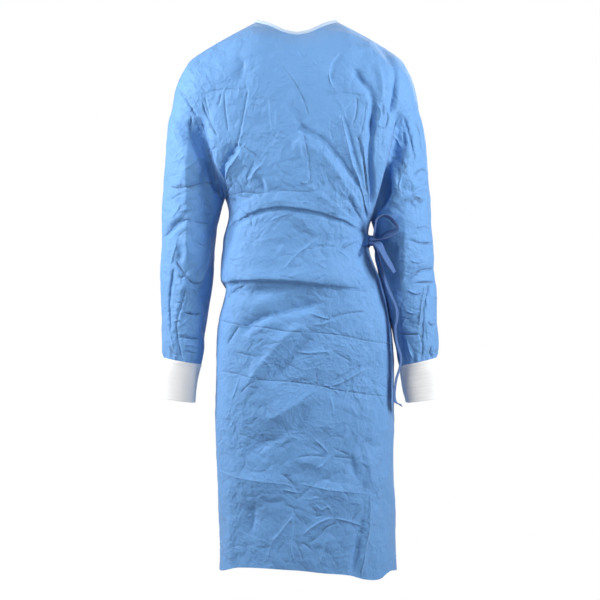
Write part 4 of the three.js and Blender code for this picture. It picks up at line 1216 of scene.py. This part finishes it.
def solid(name, grid, material):
    """A closed body from a grid that goes round in its columns: its two ends are closed with a fan to their
    middles, and its faces point out, whichever way the grid runs."""
    rows, columns = grid.shape[:2]
    number = positions(rows, columns, True, 0)
    points = np.concatenate([grid.reshape(-1, 3), grid[:1].mean(1), grid[-1:].mean(1)])
    first, last = rows * columns, rows * columns + 1
    ends = [
        np.stack([number[0, 1:], number[0, :-1], np.full(columns, first)], -1),
        np.stack([number[-1, :-1], number[-1, 1:], np.full(columns, last)], -1),
    ]
    faces = [quads(number), *ends]
    a, b, c = (points[faces[0][:, k]] for k in range(3))
    if (np.cross(a, b) * c).sum() < 0:
        faces = [group[:, ::-1] for group in faces]
    across = np.arange(columns) / columns * far_along(grid[rows // 2])[-1]
    cloth = np.stack(np.meshgrid(across, far_along(grid)), -1).reshape(-1, 2)
    uv = np.concatenate([cloth, cloth[:1], cloth[-1:]])
    return mesh_piece(name, points, np.arange(len(points)), faces, uv, material)


# Materials.
def linear(red, green, blue):
    """A colour as a screen shows it, from 0 to 255, as amounts of light."""
    c = np.array([red, green, blue]) / 255
    light = np.where(c <= 0.04045, c / 12.92, ((c + 0.055) / 1.055) ** 2.4)
    return (*light, 1)


def add(tree, kind, inputs=None, **settings):
    """A node with its settings, and each input given as a value or as another node's output."""
    node = tree.nodes.new(kind)
    for name, value in settings.items():
        setattr(node, name, value)
    for name, value in (inputs or {}).items():
        if isinstance(value, bpy.types.NodeSocket):
            tree.links.new(value, node.inputs[name])
        else:
            node.inputs[name].default_value = value
    return node


def pattern_group(name):
    """An empty node group that gives a shade, about 1, and a height in millimetres."""
    tree = bpy.data.node_groups.new(name, "ShaderNodeTree")
    for title in ("Shade", "Height"):
        tree.interface.new_socket(title, in_out="OUTPUT", socket_type="NodeSocketFloat")
    return tree


def maths(tree, operation, *values):
    return add(tree, "ShaderNodeMath", dict(enumerate(values)), operation=operation).outputs[0]


def ramp(tree, value, low, high, start, end, **settings):
    """From the start to the end as the value goes from low to high."""
    inputs = {"Value": value, "From Min": low, "From Max": high, "To Min": start, "To Max": end}
    return add(tree, "ShaderNodeMapRange", inputs, **settings).outputs[0]


# The dents of crumpled cloth: how many to a metre, how far they rise, in millimetres, and how many patches
# to a metre they come in.
FACETS = ((22.0, 3.6, 5.0), (50.0, -2.4, 9.0), (120.0, 1.1, 12.0))


def nonwoven_pattern():
    """The cloth's own pattern: the mottling of bonded fibres, their fine dots, soft crumples, and dents that
    meet in sharp ridges, stronger in some places."""
    tree = pattern_group("nonwoven")
    place = add(tree, "ShaderNodeTexCoord").outputs["Object"]

    def noise(scale, detail=2, roughness=0.5, distortion=0.0, output="Fac"):
        inputs = {"Vector": place, "Scale": scale, "Detail": detail}
        inputs.update({"Roughness": roughness, "Distortion": distortion})
        return add(tree, "ShaderNodeTexNoise", inputs).outputs[output]

    def cells(at, scale, randomness=1.0):
        inputs = {"Vector": at, "Scale": scale, "Randomness": randomness}
        return add(tree, "ShaderNodeTexVoronoi", inputs).outputs["Distance"]

    mottle = maths(tree, "MULTIPLY_ADD", noise(420, 3, 0.6), 0.07, 0.965)
    shade = maths(tree, "MULTIPLY", mottle, ramp(tree, noise(26), 0.3, 0.7, 0.985, 1.015))
    dots = maths(tree, "MULTIPLY", cells(place, 780.0, 0.35), 0.05)
    crumples = maths(tree, "MULTIPLY", noise(34, 3, 0.5, 0.4), 3.2)
    from_middle = maths(tree, "ABSOLUTE", maths(tree, "SUBTRACT", noise(62, 3, 0.55, 0.6), 0.5))
    height = maths(tree, "ADD", maths(tree, "ADD", dots, crumples), maths(tree, "MULTIPLY", from_middle, 2.2))
    inputs = {0: noise(14, output="Color"), 1: (0.05, 0.05, 0.05), 2: place}
    warped = add(tree, "ShaderNodeVectorMath", inputs, operation="MULTIPLY_ADD").outputs[0]
    for scale, rise, patch in FACETS:
        cell = cells(warped, scale)
        dents = maths(tree, "MULTIPLY", maths(tree, "MULTIPLY", cell, cell), rise)
        some = ramp(tree, noise(patch, 1), 0.38, 0.62, 0.25, 1.25)
        height = maths(tree, "ADD", height, maths(tree, "MULTIPLY", dents, some))
    add(tree, "NodeGroupOutput", {"Shade": shade, "Height": height})
    return tree


def crease_pattern():
    """The crisp creases that a mesh carries as attributes: a narrow ridge or furrow along each line. The
    furrows get painted shade, and the ridges are painted paler, partly as whitened wear of the pressed cloth
    and partly as painted highlight."""
    tree = pattern_group("crisp creases")

    def carried(name):
        return add(tree, "ShaderNodeAttribute", attribute_name=name).outputs["Fac"]

    def falling(value, low, high):
        return ramp(tree, value, low, high, 1.0, 0.0, interpolation_type="SMOOTHSTEP")

    depth = carried("line depth")
    beside = maths(tree, "ABSOLUTE", carried("line side"))
    # Halfway between two lines the signed distance jumps from one to the other, and no line is drawn there.
    mismatch = maths(tree, "ABSOLUTE", maths(tree, "SUBTRACT", beside, carried("line away")))
    true_line = falling(mismatch, 1.4, 2.4)
    slope = maths(tree, "MAXIMUM", maths(tree, "SUBTRACT", 1.0, maths(tree, "DIVIDE", beside, 4.0)), 0.0)
    profile = maths(tree, "MULTIPLY", maths(tree, "POWER", slope, 1.6), true_line)
    height = maths(tree, "MULTIPLY", profile, depth)
    # Painted shade: the colour is darkened along the furrows, where shade falls in the folds.
    furrow = maths(tree, "MULTIPLY", maths(tree, "MINIMUM", depth, 0.0), falling(beside, 0.0, 1.8))
    # Paler colour on the ridges: partly whitened wear, partly painted highlight.
    crest = maths(tree, "MULTIPLY", maths(tree, "MAXIMUM", depth, 0.0), falling(beside, 0.4, 2.4))
    # The painted shade of the furrows and the paler ridges together scale the base colour.
    painted_crease_shading = maths(tree, "ADD", maths(tree, "MULTIPLY", furrow, 0.16), maths(tree, "MULTIPLY", crest, 0.09))
    shade = maths(tree, "MULTIPLY_ADD", painted_crease_shading, true_line, 1.0)
    add(tree, "NodeGroupOutput", {"Shade": shade, "Height": height})
    return tree


NONWOVEN = nonwoven_pattern()
CRISP_CREASES = crease_pattern()


def new_material(name, inputs):
    """A material whose surface has these values on its sockets, with its node tree and that surface."""
    material = bpy.data.materials.new(name)
    material.use_nodes = True
    tree = material.node_tree
    surface = tree.nodes["Principled BSDF"]
    for title, value in inputs.items():
        surface.inputs[title].default_value = value
    return material, tree, surface


def cloth_material(name, colour, bump=1.0):
    """Bonded blue cloth: the nonwoven pattern and the crisp creases, with their painted shade and partly
    painted highlight, on a soft, slightly sheeny surface.
    """
    material, tree, surface = new_material(name, {
        "Roughness": 0.66, "Specular IOR Level": 0.3, "Sheen Weight": 0.16, "Sheen Roughness": 0.6
    })
    pattern = add(tree, "ShaderNodeGroup", node_tree=NONWOVEN).outputs
    creases = add(tree, "ShaderNodeGroup", node_tree=CRISP_CREASES).outputs
    shade = maths(tree, "MULTIPLY", pattern["Shade"], creases["Shade"])
    tint = add(tree, "ShaderNodeVectorMath", {0: colour[:3], 3: shade}, operation="SCALE")
    tree.links.new(tint.outputs[0], surface.inputs["Base Color"])
    height = maths(tree, "ADD", pattern["Height"], creases["Height"])
    raised = add(tree, "ShaderNodeBump", {"Height": height, "Distance": MM, "Strength": bump})
    tree.links.new(raised.outputs[0], surface.inputs["Normal"])
    return material


def knit_material(name, colour):
    """White knitting or tape: fine soft fibres."""
    material, tree, surface = new_material(name, {
        "Base Color": colour, "Roughness": 0.9, "Specular IOR Level": 0.2, "Sheen Weight": 0.1
    })
    place = add(tree, "ShaderNodeTexCoord").outputs["Object"]
    fibre = add(tree, "ShaderNodeTexNoise", {"Vector": place, "Scale": 900.0, "Detail": 2.0}).outputs["Fac"]
    raised = add(tree, "ShaderNodeBump", {"Height": fibre, "Distance": 0.25 * MM, "Strength": 1.0})
    tree.links.new(raised.outputs[0], surface.inputs["Normal"])
    return material


BLUE = cloth_material("blue nonwoven", linear(101, 153, 210))
# The ties are the gown's own blue cloth, painted darker as painted shade for the shade that falls on the bow
# between body and sleeve.
TAPE_IN_PAINTED_SHADE = cloth_material("tie tape in painted shade", linear(68, 106, 165), bump=0.6)
KNIT = knit_material("white knit", linear(234, 235, 236))
BINDING = knit_material("white binding", linear(178, 197, 218))

# The pieces.
front = front_panel()
lapping = back_panel(-1, "lapping", "under", LAP_OUT, 11)
under = back_panel(1, "under", "lapping", LAP_IN, 11)
sleeve_right = sleeve(
    "right", RIGHT_SLEEVE_CREASES + RIGHT_SLEEVE_FINE_CREASES, RIGHT_SLEEVE_LINES + RIGHT_SLEEVE_FINE_CREASES,
    stretch_of(RIGHT_SLEEVE_CREASES, "inner hollow", "forearm press 2"), 21
)
sleeve_left = sleeve(
    "left", LEFT_SLEEVE_CREASES + LEFT_SLEEVE_FINE_CREASES, LEFT_SLEEVE_LINES + LEFT_SLEEVE_FINE_CREASES,
    stretch_of(LEFT_SLEEVE_CREASES, "press down the sleeve", "light crease to the cuff"), 23
)

top_front, top_back = NECKS["front"]["z"][0], NECKS["back"]["z"][0]
front_tie = waist_tie([(front, top_front, np.arange(171, 192))], FRONT_TIE_END, sewn=14)
back_tie = waist_tie([
    (lapping, top_back, np.arange(122, 145, 2)),
    (under, top_back, np.arange(40, -1, -2)),
    (front, top_front, np.arange(214, 206, -2)),
], BACK_TIE_END)
patch_rows, patch_columns = slice(2, 9), slice(99, 142)
patch_out = under.outward[patch_rows, patch_columns]
patch = under.grid[patch_rows, patch_columns] + patch_out * FASTENER["stand"]
fastener = Cloth(patch, patch_out, -1, False, {})

MADE = {
    "front": (shell, front, BLUE),
    "back_lapping": (shell, lapping, BLUE),
    "back_under": (shell, under, BLUE),
    "right_sleeve": (shell, sleeve_right, BLUE),
    "left_sleeve": (shell, sleeve_left, BLUE),
    "right_cuff": (shell, cuff("right", 31), KNIT),
    "left_cuff": (shell, cuff("left", 33), KNIT),
    "binding": (solid, neck_binding(front, lapping, under), BINDING),
    "knot": (solid, knot(), TAPE_IN_PAINTED_SHADE),
    "front_tie": (shell, front_tie, BLUE, TIE_THICKNESS),
    "back_tie": (shell, back_tie, TAPE_IN_PAINTED_SHADE, TIE_THICKNESS),
    "upper_loop": (shell, ribbon(LOOP_UPPER, 41), TAPE_IN_PAINTED_SHADE, TIE_THICKNESS),
    "lower_loop": (shell, ribbon(LOOP_LOWER, 42), TAPE_IN_PAINTED_SHADE, TIE_THICKNESS),
    "free_end": (shell, ribbon(TIE_END, 43), TAPE_IN_PAINTED_SHADE, TIE_THICKNESS),
    "fastener": (shell, fastener, BINDING, FASTENER["thickness"]),
}
pieces = {name: make(name, *parts) for name, (make, *parts) in MADE.items()}

# Where each piece belongs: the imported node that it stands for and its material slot.
BELONGS = {
    "front": ("front_panel", "blue_nonwoven"),
    "back_lapping": ("back_panel_lapping", "blue_nonwoven"),
    "back_under": ("back_panel_under", "blue_nonwoven"),
    "right_sleeve": ("sleeve_right", "blue_nonwoven"),
    "left_sleeve": ("sleeve_left", "blue_nonwoven"),
    "right_cuff": ("cuff_right", "white_knit"),
    "left_cuff": ("cuff_left", "white_knit"),
    "binding": ("neck_binding", "white_binding"),
    "fastener": ("neck_fastener", "white_binding"),
    "front_tie": ("tie_front", "tie_tape"),
    "back_tie": ("tie_back", "tie_tape"),
    "knot": ("bow_knot", "tie_tape"),
    "upper_loop": ("bow_loop_upper", "tie_tape"),
    "lower_loop": ("bow_loop_lower", "tie_tape"),
    "free_end": ("tie_end_long", "tie_tape"),
}
for name, (node_name, slot_name) in BELONGS.items():
    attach(pieces[name], "root")
    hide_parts(node_name)

# The camera, the floor and the light.
camera_data = bpy.data.cameras.new("camera")
camera_data.sensor_width = SENSOR
camera_data.lens = SENSOR * -CAMERA["y"] / PICTURE_WIDTH
camera_data.clip_end = 50
camera = placed("camera", camera_data)
camera.location = [CAMERA[axis] * MM for axis in "xyz"]
camera.rotation_euler = (np.pi / 2, 0, 0)
bpy.context.scene.camera = camera


def floor_material():
    """Pale, and plain white where the camera sees it."""
    material, tree, surface = new_material("floor", {"Base Color": linear(205, 206, 208), "Roughness": 0.8})
    seen = add(tree, "ShaderNodeLightPath").outputs["Is Camera Ray"]
    white = add(tree, "ShaderNodeEmission", {"Color": (1, 1, 1, 1), "Strength": 1.0}).outputs[0]
    both = add(tree, "ShaderNodeMixShader", {0: seen, 1: surface.outputs[0], 2: white})
    tree.links.new(both.outputs[0], tree.nodes["Material Output"].inputs["Surface"])
    return material


FLOOR = {"radius": 4, "height": -1.55, "corners": 96}
turn = np.arange(FLOOR["corners"]) / FLOOR["corners"] * 2 * np.pi
radius, level = FLOOR["radius"], np.full_like(turn, FLOOR["height"])
edge = np.stack([radius * np.cos(turn), radius * np.sin(turn), level], -1)
floor_mesh = bpy.data.meshes.new("floor")
floor_mesh.from_pydata(edge.tolist(), [], [list(range(FLOOR["corners"]))])
floor_mesh.materials.append(floor_material())
placed("floor", floor_mesh)


LIGHTS_HEIGHT = -0.43


def softbox(name, around_it, height, power, size=0.7, distance=1.7):
    """A square light that faces the gown's middle from so many degrees to the left (-) or right of the
    front, and so many above the level."""
    data = bpy.data.lights.new(name, "AREA")
    data.shape = "SQUARE"
    data.size = size
    data.energy = power
    light = placed(name, data)
    turn, tilt = np.radians(around_it), np.radians(height)
    direction = np.array([np.sin(turn) * np.cos(tilt), -np.cos(turn) * np.cos(tilt), np.sin(tilt)])
    light.location = direction * distance + np.array([0, 0, LIGHTS_HEIGHT])
    light.rotation_euler = (np.pi / 2 - tilt, 0, turn)


softbox("left softbox", -76, 18, 36)
softbox("right softbox", 62, 18, 30)
softbox("upper left softbox", -38, 44, 7.5)
softbox("front fill", 26, 12, 3)
softbox("rear softbox", 165, 28, 26, size=1.2)

world = bpy.data.worlds.new("world")
world.use_nodes = True
bpy.context.scene.world = world
sky = world.node_tree
seen = add(sky, "ShaderNodeLightPath").outputs["Is Camera Ray"]
sky.nodes["Background"].inputs["Color"].default_value = (1, 1, 1, 1)
sky.links.new(ramp(sky, seen, 0.0, 1.0, 0.085, 1.0), sky.nodes["Background"].inputs["Strength"])
bpy.context.scene.view_settings.view_transform = "Standard"
